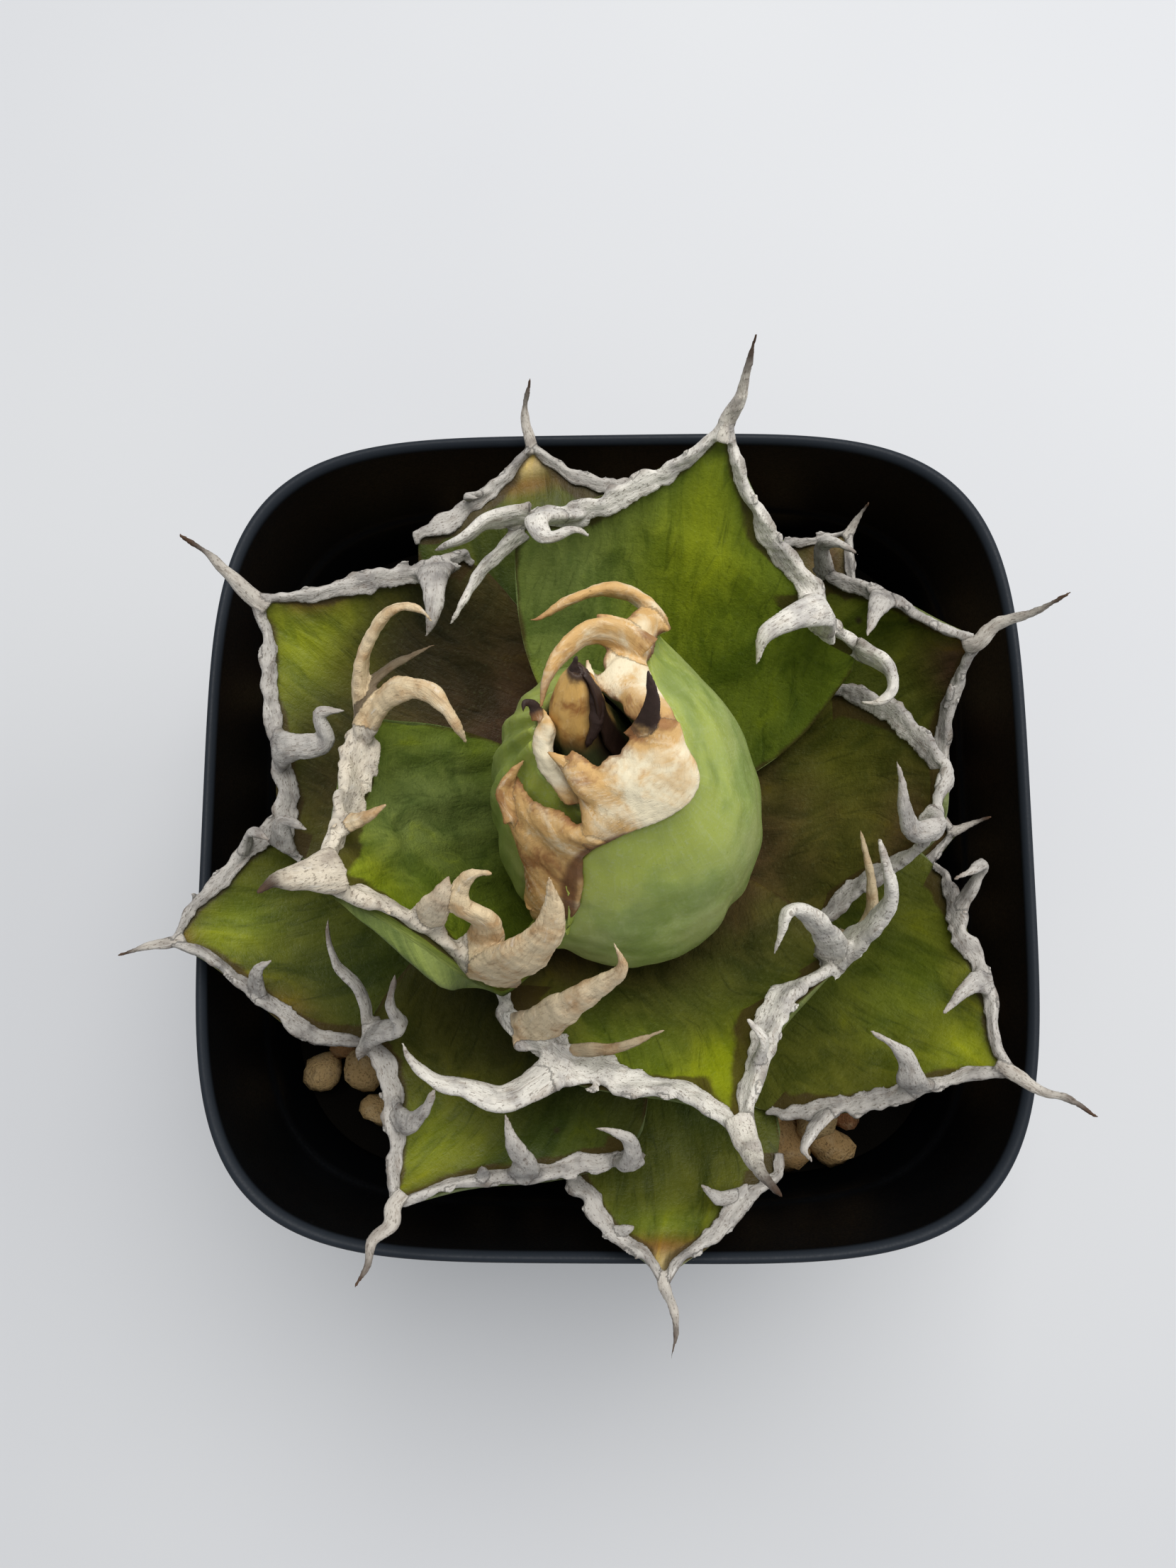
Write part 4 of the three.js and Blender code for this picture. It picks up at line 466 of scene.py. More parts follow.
def strip(leaf, side, steps=110):
    """One horny strip: the outline STRIP carried along a margin from its start to the apex, its
    width, its outer edge and its height changed by noise along the way."""
    row = leaf.row
    sign = 1 if side == "left" else -1
    seed = int(row["name"][-2:]) * 2 + (sign > 0)
    start = row["horn_from"][side == "right"]
    share = np.linspace(0, 1, steps)
    t = start + (1 - start) * share
    span = np.maximum(norm(leaf.half(t), axis=1), 0.8)
    outer = leaf.face(sign * np.ones(steps), t)
    course = unit(np.gradient(outer, axis=0))
    inward = np.cross(leaf.normal(sign * 0.9 * np.ones(steps), t), course) * -sign
    inward[:, 2] *= LEAN.get(row["name"], 0.42)
    for _ in range(5):
        inward[1:-1] += (inward[2:] + inward[:-2]) / 2
        inward = unit(inward)
    way = way_along(outer)
    width = row["border"] * np.minimum(1, 0.35 + 2.5 * share) * (1.3 - 0.8 * share**1.5)
    width *= 1 + 0.16 * ripple(way, 9, seed) + 0.09 * ripple(way, 2.6, seed + 5)
    width = np.minimum(width, 0.75 * span + 0.7)
    normal = unit(np.cross(course, inward)) * -sign
    inward = inward * width[:, None]
    edge = 0.16 * ripple(way, 4.5, seed + 50) + 0.05
    tall = (0.85 + 0.2 * ripple(way, 7, seed + 90)) * np.minimum(1, 0.4 + 8 * share)
    rings = outer[:, None] + inward[:, None] * (STRIP[:, 0] * (1 - edge[:, None]) + edge[:, None])[..., None]
    rings += normal[:, None] * (STRIP[:, 1] * tall[:, None])[..., None]
    middle = outer + inward * 0.5
    return closed_tube(rings), {"line": middle, "across": unit(inward), "way": way,
        "size": width / 2, "tip": np.zeros(steps), "kind": 0}


def closed_tube(rings):
    """Rings (rows, sides, 3) as points and faces, with both ends drawn together to their middles."""
    rows, sides, _ = rings.shape
    ends = np.repeat(rings[[0, -1]].mean(1, keepdims=True), sides, 1)
    rings = np.concatenate([ends[:1], rings, ends[1:]])
    return rings.reshape(-1, 3), quads(rows + 2, sides)


def horn(points, root, wide, tip=0.18, steps=40, sides=14, fullness=2.3, flat=0.58,
        flare=0.7, tone=0.0, seed=0, kind=1):
    """A curved horn: an oval carried along a curve, whose radius falls from root to tip with a power
    of the way along it; it is broad in the direction `wide` and flares at its foot."""
    curve = measured(points)
    share = np.linspace(0, 1, steps)
    line = along(curve, share)
    forward = unit(np.gradient(line, axis=0))
    side = unit(wide - forward[0] * (wide @ forward[0]))
    across = np.empty_like(line)
    for k in range(steps):
        side = unit(side - forward[k] * (side @ forward[k]))
        across[k] = side
    height = np.cross(forward, across)
    way = share * curve[2]
    radius = tip + (root - tip) * (1 - share**fullness) * (1 + 0.09 * ripple(way, 6, seed + 3))
    spread = radius * (1.3 - 0.3 * share + flare * np.exp(-share / 0.09))
    deep = radius * (flat + (1 - flat) * 0.7 * share**2)
    angle = np.linspace(0, 2 * math.pi, sides, endpoint=False)
    rings = line[:, None] + across[:, None] * (spread[:, None] * np.cos(angle))[..., None]
    rings += height[:, None] * (deep[:, None] * np.sin(angle))[..., None]
    return closed_tube(rings), {"line": line, "across": across, "way": way + 13.7 * seed,
        "size": radius, "tip": share, "kind": kind, "tone": tone}


def read_off(points, courses):
    """What each point of a fused horn lies on: the nearest station of all courses, less its size,
    gives the way along, the offset across, the share to the tip and the course's kind and tone."""
    def joined(key, default=0.0):
        return np.concatenate([np.zeros(len(c["line"])) + c.get(key, default) for c in courses])

    line, across = (np.concatenate([course[key] for course in courses]) for key in ("line", "across"))
    way, size, tip, kind, tone = map(joined, ("way", "size", "tip", "kind", "tone"))
    share = joined("share", -1)
    nearest = np.empty(len(points), int)
    for first in range(0, len(points), 4000):
        part = points[first : first + 4000]
        apart = norm(part[:, None] - line[None], axis=2) - size
        nearest[first : first + 4000] = apart.argmin(1)
    off = points - line[nearest]
    sideways = np.einsum("ij,ij->i", off, across[nearest])
    rise = norm(off - across[nearest] * sideways[:, None], axis=1)
    brink = np.abs(sideways) / np.maximum(size[nearest], 0.3) / np.where(kind[nearest] > 0, 1.35, 1)
    grain = np.stack([way[nearest], sideways, rise], -1)
    return {"grain": grain, "tip": tip[nearest], "spine": (kind[nearest] == 2) * 1.0, "tan": tone[nearest],
        "fringe": np.where(share[nearest] < 0, 0.9 * brink, share[nearest])}


def border_root(courses, target):
    """The point of the strips' middle lines nearest to a given one, a little sunk, and its direction."""
    line = np.concatenate([c["line"] for c in courses])
    ahead = np.concatenate([unit(np.gradient(c["line"], axis=0)) for c in courses])
    best = norm(line - target, axis=1).argmin()
    return line[best] - np.array([0, 0, 0.25]), ahead[best]


def border(leaf, finish, voxel, tan_teeth=0.0):
    """A leaf's horny border: both strips, the terminal spine, the teeth and small thorns between
    them, grown together in one skin with fine lumps."""
    row = leaf.row
    seed = int(row["name"][-2:])
    rng = np.random.default_rng(900 + seed)
    parts, courses = [], []

    def keep(made):
        parts.append(made[0])
        courses.append(made[1])

    keep(strip(leaf, "left"))
    keep(strip(leaf, "right"))
    broad = unit(leaf.half(np.array([0.93]))[0])
    ends = leaf.centre(np.array([0.955, 1.0]))
    spine = np.concatenate([ends, leaf.placed(row["spine"])])
    pale = row["name"] == "leaf_05"
    keep(horn(spine, row["spine_root"], broad, tip=0.2, steps=60, fullness=1.5, flat=0.9,
        flare=0.1, tone=0 if pale else 0.2, seed=seed, kind=1 if pale else 2))
    for number, (side, root, tone, path) in enumerate(row["teeth"]):
        path = leaf.placed(path)
        foot, course = border_root(courses[side == "right":][:1], path[0])
        keep(horn(np.concatenate([foot[None], path[1:]]), root, course, tone=tone,
            seed=10 * seed + number))
    for side, start in zip(("left", "right"), row["horn_from"]):
        sign = 1 if side == "left" else -1
        for t in np.arange(start + 0.08, 0.95, 0.11):
            t = np.array([t + 0.03 * rng.uniform(-1, 1)])
            foot = leaf.face(sign * 0.97 * np.ones(1), t)[0]
            inward = unit(leaf.half(t)[0]) * -sign
            lift = leaf.normal(sign * 0.9 * np.ones(1), t)[0]
            course = unit(leaf.margin(side, t + 0.02)[0] - leaf.margin(side, t - 0.02)[0])
            long = rng.uniform(0.3, 1.3)
            way = unit(-0.75 * inward + lift * rng.uniform(0.2, 1.0) + course * rng.uniform(-0.7, 0.4))
            path = [foot + inward * 0.8, foot, foot + way * long * 0.6, foot + way * long + lift * 0.2]
            keep(horn(np.array(path), 0.5, course, tip=0.14, steps=8, sides=8, flare=0.8, seed=100 + seed,
                tone=tan_teeth * 0.5))
    points, faces, normals = grown_together(parts, voxel)
    marks = read_off(points, courses)
    fibre = lumps(marks["grain"] * np.array([0.3, 1.6, 1.6]), 2.2, seed + 20, 2)
    points = points + normals * (0.08 * lumps(points, 3.2, seed + 30, 2) + 0.06 * fibre)[:, None]
    piece = mesh_piece(row["name"] + "_horn", points, faces, marks, finish)
    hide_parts(row["name"] + "_border")
    return piece


class Finish:
    """Lays out the shader nodes of one procedural finish."""

    def __init__(self, name, roughness=0.6, specular=0.4):
        self.material = bpy.data.materials.new(name)
        self.material.use_nodes = True
        self.tree = self.material.node_tree
        self.shader = self.tree.nodes["Principled BSDF"]
        self.shader.inputs["Roughness"].default_value = roughness
        self.shader.inputs["Specular IOR Level"].default_value = specular
        self.place = self.stretch(self.node("TexCoord", {}, "Object"), (1000, 1000, 1000))

    def fill(self, socket, source):
        """Links a socket to another node's, or sets it to a number, a vector or a colour."""
        if isinstance(source, bpy.types.NodeSocket):
            self.tree.links.new(source, socket)
        else:
            socket.default_value = source + (1,) if socket.type == "RGBA" else source

    def node(self, kind, inputs, output=0, **settings):
        made = self.tree.nodes.new("ShaderNode" + kind)
        for name, setting in settings.items():
            setattr(made, name, setting)
        for name, source in inputs.items():
            self.fill(made.inputs[name], source)
        return made.outputs[output]

    def stretch(self, vector, scale, shift=(0, 0, 0)):
        return self.node("Mapping", {"Vector": vector, "Scale": scale, "Location": shift})

    def mark(self, name, output="Fac"):
        return self.node("Attribute", {}, output, attribute_name=name)

    def noise(self, vector, size, detail=3.0, rough=0.55, twist=0.0):
        return self.node("TexNoise", {"Vector": vector, "Scale": 1 / size, "Detail": detail,
            "Roughness": rough, "Distortion": twist}, "Fac")

    def cells(self, vector, size):
        return self.node("TexVoronoi", {"Vector": vector, "Scale": 1 / size}, "Distance")

    def ramp(self, value, low, high, start=0.0, end=1.0):
        return self.node("MapRange", {0: value, 1: low, 2: high, 3: start, 4: end},
            interpolation_type="SMOOTHSTEP")

    def sum(self, kind, a, b):
        return self.node("Math", {0: a, 1: b}, operation=kind)

    def times(self, a, b):
        return self.sum("MULTIPLY", a, b)

    def plus(self, a, b):
        return self.sum("ADD", a, b)

    def mix(self, share, a, b, kind="MIX"):
        return self.node("Mix", {0: share, 6: a, 7: b}, 2, data_type="RGBA", blend_type=kind)

    def coat(self, colour, source, low, high, strength, over, kind="MIX"):
        return self.mix(self.ramp(source, low, high, 0, strength), colour, over, kind)

    def done(self, colour, rough=None, height=None, depth=0.1, strength=1.0):
        self.fill(self.shader.inputs["Base Color"], colour)
        if rough is not None:
            self.fill(self.shader.inputs["Roughness"], rough)
        if height is not None:
            bump = self.node("Bump", {"Distance": depth * MM, "Strength": strength, "Height": height})
            self.fill(self.shader.inputs["Normal"], bump)
        return self.material


def leaf_finish(name, seed, streaks=0.5, bloom=0.2, specks=0.3, rough=0.42):
    """A blade's skin: the painted patches, pale streaks along the leaf, fine mottling, a powdery
    bloom, a few dark specks, and a thin brown line where the horny border begins."""
    f = Finish(name, rough, 0.2)
    grain = f.mark("grain", "Vector")
    away = (11.3 * seed, 5.1 * seed, 0)
    lines = f.noise(f.stretch(grain, (1, 0.22, 1), away), 1.6, 5, 0.65, 1.2)
    broad = f.noise(f.stretch(grain, (1, 0.45, 1), away), 6, 4, 0.6, 1.0)
    fine = f.noise(f.place, 0.55, 3, 0.7)
    colour = f.mix(f.ramp(broad, 0.62, 0.3, 0, 0.85), f.mark("paint", "Color"), (0.42, 0.5, 0.42), "MULTIPLY")
    colour = f.coat(colour, broad, 0.58, 0.78, 1, (1.3, 1.25, 0.7), "MULTIPLY")
    colour = f.coat(colour, lines, 0.55, 0.8, streaks, (2.0, 1.9, 1.5), "MULTIPLY")
    colour = f.coat(colour, lines, 0.48, 0.28, 0.6, (0.42, 0.46, 0.4), "MULTIPLY")
    colour = f.coat(colour, fine, 0.5, 0.25, 0.35, (0.5, 0.55, 0.45), "MULTIPLY")
    colour = f.coat(colour, fine, 0.55, 0.85, bloom, (0.24, 0.3, 0.12))
    spot = f.times(f.ramp(f.cells(f.stretch(f.place, (1, 1, 1), away), 9), 0.1, 0.02), specks)
    colour = f.mix(spot, colour, (0.03, 0.022, 0.01))
    edge = f.ramp(f.plus(f.mark("rim"), f.times(f.sum("SUBTRACT", broad, 0.5), 1.5)), 0.6, 0.0, 0, 0.8)
    colour = f.mix(edge, colour, (0.05, 0.03, 0.01))
    height = f.plus(lines, f.times(fine, 0.5))
    return f.done(colour, f.ramp(fine, 0.3, 0.8, rough - 0.06, rough + 0.14), height, 0.3, 0.8)


def horn_finish(name, seed, pale=(0.66, 0.63, 0.57), grey=(0.34, 0.32, 0.305), specks=0.6, brown=0.25):
    """Dry horn: pale with grey and brown streaks along its fibres, short dark flecks, tan where it
    is young, and dark brown towards the tips of the spines."""
    f = Finish(name, 0.72, 0.25)
    grain = f.mark("grain", "Vector")
    away = (17.0 * seed, 3.0 * seed, 0)
    fibre = f.noise(f.stretch(grain, (0.22, 1, 1), away), 0.7, 4, 0.65, 0.5)
    cloud = f.noise(f.stretch(f.place, (1, 1, 1), away), 3.6, 3, 0.6)
    fleck = f.noise(f.stretch(grain, (0.5, 1, 1), away), 0.22, 2, 0.5)
    tone = f.mark("tan")
    tip = f.mark("tip")
    colour = f.mix(f.ramp(cloud, 0.42, 0.72, 0, 0.85), pale, grey)
    tanned = f.mix(f.ramp(cloud, 0.4, 0.75), (0.66, 0.53, 0.34), (0.45, 0.27, 0.12))
    colour = f.coat(colour, tone, 0, 1, 1, tanned)
    colour = f.coat(colour, tone, 1, 2, 1, (0.03, 0.018, 0.01))
    colour = f.coat(colour, fibre, 0.5, 0.3, 0.6, (0.5, 0.44, 0.4), "MULTIPLY")
    brink = f.plus(f.mark("fringe"), f.times(f.sum("SUBTRACT", fibre, 0.5), 0.5))
    colour = f.coat(colour, brink, 0.72, 0.98, 0.6, (0.13, 0.1, 0.075))
    bright = f.times(f.ramp(fibre, 0.58, 0.8, 0, 0.6), f.ramp(tone, 1.3, 1))
    colour = f.mix(bright, colour, (0.8, 0.78, 0.73))
    flecks = f.times(f.ramp(fleck, 0.57, 0.67, 0, specks), f.ramp(tone, 0.9, 0.1, 0.25, 1))
    colour = f.mix(flecks, colour, (0.09, 0.065, 0.045))
    ends = f.times(f.mark("spine"), f.ramp(f.plus(tip, f.times(cloud, 0.35)), 0.62, 1.12))
    colour = f.mix(ends, colour, (0.035, 0.02, 0.014))
    ends = f.times(f.ramp(f.plus(tip, f.times(cloud, 0.3)), 0.85, 1.25), brown)
    colour = f.mix(ends, colour, (0.16, 0.085, 0.04))
    height = f.plus(fibre, f.times(fleck, 0.4))
    return f.done(colour, f.ramp(fibre, 0.3, 0.7, 0.85, 0.62), height, 0.22, 0.9)


# The furled bud's foot, across. Its lips are paths in the plant's frame, each with its bearing round the
# bud's own axis, in degrees.
BUD = np.array([1.0, -1.0])
OUTER = {
    "lip": "-8.5 -13.5 27, -6 -14 31, -5 -9.5 38, -2.7 -7.4 42, 0.1 -6.2 44, 3.7 -5.1 45, 6.7 -3.6 46, "
           "7.9 -0.8 47, 6.9 2.2 47.5, 6 5.1 48, 4.2 8.5 47.5, 3.4 12.5 45, 4.3 16 41, 5.5 18.1 36",
    "bearings": [-132, -120, -112, -104, -92, -68, -40, -10, 18, 38, 55, 68, 80, 92], "foot": -8,
    "foot_radius": 9.5, "bulge": 2.6, "thick": (3.6, 1.3),
}
SECOND = {
    "lip": "-9.3 3.7 45.5, -8.6 1.1 44.5, -7 -1 43.5, -4.5 -3.3 41, -0.5 -4 40, 3 -3 40, 5 -0.5 41, "
           "4.6 2.2 42, 3.4 5.2 42, 1 8.5 42, -3 11.5 42, -7 9.5 44, -9 6.5 46, -9.3 3.7 45.5",
    "bearings": [180, 196, 212, 232, 256, 282, 308, 335, 362, 390, 425, 465, 505, 540], "foot": -4.5,
    "foot_radius": 8, "bulge": 2.4, "thick": (2.4, 1.2),
}


def furled(leaf, u, v, inset):
    """A furled leaf's outer face: at each bearing a column runs from the foot over the belly at height
    17 and a shoulder, halfway to the lip and bulged out, to the lip; u goes round, v up."""
    bearing = bend([[b, 12 * k, 0] for k, b in enumerate(leaf["bearings"])], u)[:, 0]
    angle = np.radians(bearing)
    out = np.stack([np.cos(angle), np.sin(angle), np.zeros_like(angle)], -1)
    belly_radius = 18.1 - 1.2 * np.cos(2 * angle)

    def ring(scale, z):
        point = out * (scale * belly_radius - inset(bearing))[:, None]
        return point + np.array([BUD[0], BUD[1], z])

    top = bend(knots(leaf["lip"]), u)
    belly = ring(1, 17)
    foot = out * leaf["foot_radius"] + np.array([BUD[0], BUD[1], leaf["foot"]])
    shoulder = (belly + top) / 2 + out * leaf["bulge"]
    return bend(np.stack([foot, ring(0.8, 4), belly, shoulder, top]), v), bearing


def furled_piece(name, leaf, inset, finish, node, columns, rows, closed, relief):
    """A furled leaf as a shell: its inner face is its outer one moved in by a thickness that thins
    towards the lip; `relief` adds folds and ridges to the outer face."""
    u = np.linspace(0, 1, columns, endpoint=not closed)
    v = np.linspace(0, 1, rows) ** 0.8
    face, bearing = furled(leaf, u, v, inset)
    if closed:
        around = (np.roll(face, -1, 1) - np.roll(face, 1, 1))
    else:
        around = np.gradient(face, axis=1)
    inward = unit(np.cross(np.gradient(face, axis=0), around))
    foot, lip = leaf["thick"]
    thick = (foot + (lip - foot) * v)[:, None, None]
    if not closed:
        thick = thick * (0.25 + 0.75 * np.clip(np.minimum(u, 1 - u) / 0.2, 0, 1))[None, :, None]
    out = face - inward * relief(face, bearing[None], v[:, None])[..., None]
    inside = face + inward * thick
    away = norm(np.gradient(face, axis=0), axis=2)
    rim = np.cumsum(away[::-1], 0)[::-1]
    turn = np.radians(bearing)[None] * 17 * np.ones(face.shape[:2])
    grain = np.stack([turn, face[..., 2], np.zeros(face.shape[:2])], -1)
    if closed:
        rings = np.concatenate([out, inside[::-1]], 0).transpose(1, 0, 2)
        marks = {"rim": np.concatenate([rim, rim[::-1]], 0).T,
            "grain": np.concatenate([grain, grain[::-1]], 0).transpose(1, 0, 2)}
        inner = np.concatenate([np.zeros(rim.shape), np.ones(rim.shape)], 0).T
        sides = 2 * rows
        faces = quads(columns + 1, sides) % (columns * sides)
    else:
        rings = np.concatenate([out, inside[:, ::-1]], 1)
        marks = {"rim": np.concatenate([rim, rim[:, ::-1]], 1),
            "grain": np.concatenate([grain, grain[:, ::-1]], 1)}
        sheet = np.clip(np.minimum(u, 1 - u)[::-1] / 0.1 - 1.7, 0, 1) * np.ones(rim.shape)
        inner = np.concatenate([np.zeros(rim.shape), sheet], 1)
        faces = sheet_faces(rows, columns)
    marks = {"rim": marks["rim"].ravel(), "grain": marks["grain"].reshape(-1, 3), "inside": inner.ravel()}
    piece = face_out(mesh_piece(name, rings.reshape(-1, 3), faces, marks, finish))
    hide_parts(node)
    return piece


def outer_relief(face, bearing, height):
    """Shallow lumps, and one soft crease low on the right."""
    crease = np.exp(-(((bearing + 38 + 9 * height) / 5) ** 2) - ((height - 0.52) / 0.13) ** 2)
    return 0.22 * lumps(face, 16, 3) + 0.05 * lumps(face, 5, 4) - 0.5 * crease


def second_relief(face, bearing, height):
    """Upright ridges on the left bulge, which fade round it and towards the foot."""
    off = np.abs((bearing - 165 + 180) % 360 - 180)
    ridges = np.cos(np.radians(bearing) * 21 + 2.2 * height) * np.exp(-((off / 42) ** 2))
    ridges *= np.clip(height * 1.6, 0, 1)
    return 0.38 * ridges + 0.12 * lumps(face, 9, 5)


def second_inset(bearing):
    """The second leaf stands free at the left and draws in where the outer leaf covers it."""
    off = np.abs(((bearing + 17 + 540) % 360) - 180)
    return 0.4 + 4.6 * np.clip((124 - off) / 24, 0, 1)


# The papery plates of the bud's dried margins: the path of their lip side and of their free edge.
PLATES = {
    "left": ["-9.6 -13.2 28, -7.2 -14.6 29.5, -5.3 -14.4 32.4, -4.4 -11.9 36.4, -4.3 -9.6 39.4, "
        "-4.2 -8.5 40.6, -3.4 -7.9 41.8, -2.6 -7.3 42.8, -1.4 -6.8 43.8",
        "-10.9 -11.2 28.4, -10.8 -8.6 33, -12.3 -4.4 36, -13.4 -1.3 38.4, -11.8 -0.2 40.4, "
        "-9.4 -2.4 41.8, -7 -3.2 43, -4.9 -4.6 44, -3.6 -5 44.6"],
    "main": ["-2.9 -7.5 42.6, -1.2 -6.9 43.9, 0.6 -6.2 45.2, 2.4 -5.6 46, 4.4 -5 46.6, 6.6 -3.8 47.4, "
        "8 -2 48, "
        "8 0.2 48.6, 7 2.4 49, 6.2 4.9 49.4",
        "-3.9 -5.4 44, -4.2 -3 45.2, -4.6 -0.6 46.2, -6.6 1.5 47.2, -4.8 1.7 47.8, -2.8 1 48.2, "
        "-1 1.7 48.6, 0.4 2.6 49, 1.4 3.5 49.2, 2 4.6 49.6"],
    "top": ["6.2 4.4 49.4, 5.4 6.4 49.2, 4.2 8.2 49, 3.3 10.2 48, 3 12 47, 3.6 13.4 45.6, 4 15 43.6, "
        "4.6 16.6 41.4, 5.5 18.3 38",
        "2 4.4 49.4, 0.8 5.9 49, 0.1 7.3 48.6, -2.2 8.5 47.8, -2.5 10 47.6, -1.4 10.8 47.4, -2 12.2 47, "
        "0.4 16.4 45, 2.2 19.4 42"],
    "rim": ["-9.8 6.9 46.2, -8.5 5.7 47, -9.2 3.7 46.2, -8.7 1.1 45.2, -7.3 -0.9 44.2, -6 -2.9 43",
        "-8 6.6 46.6, -6.8 4.8 46.2, -7.1 3 45.2, -6.5 1 44, -5.2 -0.6 42.8, -4.2 -2.4 41.4"],
}
# How tan each is along its way, on its lip side and at its free edge: 0 is cream, 1 is orange tan.
TANNED = {"left": [[0.3, 0.8, 0.9, 0.8, 0.7, 0.6, 0.5, 0.4], [0.7, 1, 1, 1.1, 0.9, 0.8, 0.9, 0.8]],
    "main": [[0.6, 0.5, 0.4, 0.2, 0.1, 0.2, 0.5, 0.9], [1.1, 1.1, 1.0, 1.1, 0.6, 0.6, 1.1, 1.3]],
    "top": [[0.9, 0.7, 0.3, 0.1, 0.2, 0.5, 0.9, 1.1], [1, 0.9, 0.2, 0.1, 0.1, 0.3, 0.6, 1]],
    "rim": [[0.9, 0.5, 0.1, 0.1, 0.4, 0.9], [0.8, 0.3, 0.0, 0.1, 0.4, 0.9]]}
# The long teeth and spines of that margin: [radius at the root, tone, broad way, path].
BUD_TEETH = [
    [1.25, 0.8, [1, 0, 0], "2.4 3.6 48.6, 3 5 51, 3.3 6.8 53.3, 2.8 9 55.2"],
    [1.5, 0.8, [0.6, -0.8, 0.3], "4.6 17.2 40, 3.4 19.4 41.2, 1.2 20.9 42, -1.8 21.2 42.6, -5.6 19.7 43.2, "
        "-9.2 17.6 43.4, -9.9 17.6 43.7"],
    [1.9, 0.7, [0.9, -0.4, 0.2], "2.4 12.6 46.8, 0 14.6 47.5, -2.9 14.9 48.1, -5.6 12.9 48.7, -7.5 9.9 48.6, "
        "-8.2 6.9 47.7"],
    [1.15, 1, [0.7, 0.7, 0], "-11.4 -3.4 38.4, -12.7 -1 40.2, -11.8 0.7 41.6, -10.4 2.1 42.6"],
    [0.8, 0.6, [0.3, 0.9, 0], "1.6 15.8 44.6, -0.6 16.9 45.2, -2.4 17.4 45.4"],
    [0.7, 1.1, [1, 0.3, 0], "-4.6 0.6 46.8, -6.4 1.5 47.6, -7.6 2.2 47.8"],
    [0.7, 0.6, [1, 0, 0], "-1.8 8.8 47.6, -3 10.2 47.6, -3.4 12 47.6"],
    [1.3, 0.6, [1, 0, 0], "-9 -13.2 29, -9.3 -13.6 26.5, -9.8 -14 23, -10.4 -14.2 19, -10.6 -14 15"],
]


def plate(name, seed, rows=90, columns=40):
    """A papery plate: straight ribs between its lip and its free edge, arched up between them, ragged
    at the free edge by noise, about a millimetre thick and thinner at its edges."""
    lip, free = (bend(knots(text), np.linspace(0, 1, rows)) for text in PLATES[name])
    way = way_along(free)
    reach = 1 + 0.07 * ripple(way, 3.4, seed)
    u = np.linspace(0, 1, columns)[None, :] * reach[:, None]
    face = lip[:, None] + (free - lip)[:, None] * u[..., None]
    arch = 0.9 * 4 * u * (1 - u) + 0.2 * lumps(face, 9, seed + 1, 2)
    normal = unit(np.cross(np.gradient(face, axis=0), np.gradient(face, axis=1)))
    normal *= np.sign(normal[..., 2:].mean())
    face += normal * arch[..., None]
    half = 0.32 + 0.24 * np.sin(np.linspace(0.1, 0.9, columns) * math.pi)[None, :]
    rings = np.concatenate([face + normal * half[..., None], (face - normal * half[..., None])[:, ::-1]], 1)
    tans = [np.interp(np.linspace(0, len(row) - 1, rows), np.arange(len(row)), row) for row in TANNED[name]]
    courses = []
    for column in range(0, columns, 3):
        share = column / (columns - 1)
        courses.append({"line": face[:, column], "across": unit(free - lip), "way": way, "size": 0.4,
            "tip": 0.0, "kind": 0, "tone": tans[0] + (tans[1] - tans[0]) * share, "share": share})
    return closed_tube(rings), courses


def bud_border(finish):
    """The dried margin of the outer bud leaf: three plates with long curved teeth and a dark spine,
    grown together."""
    parts, courses = [], []
    for number, name in enumerate(("left", "main", "top")):
        made, lines = plate(name, 30 + number)
        parts.append(made)
        courses += lines
    for number, (root, tone, wide, path) in enumerate(BUD_TEETH):
        wide = unit(np.array(wide, float))
        kind = 2 if number == 0 else 1
        made, course = horn(knots(path), root, wide, steps=50, fullness=1.7 if number else 1.4,
            flare=0.5, tone=tone, seed=70 + number, kind=kind)
        parts.append(made)
        courses.append(course)
    points, faces, normals = grown_together(parts, 0.23)
    marks = read_off(points, courses)
    lip = bend(knots(OUTER["lip"]), np.linspace(0, 1, 160))
    near = np.min([norm(points - spot, axis=1) for spot in lip], axis=0)
    marks["edge"] = near
    points = points + normals * (0.07 * lumps(points, 4, 61, 2) + 0.03 * lumps(points, 1.1, 62, 2))[:, None]
    piece = mesh_piece("bud_outer_horn", points, faces, marks, finish)
    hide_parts("bud_outer_border")
    return piece


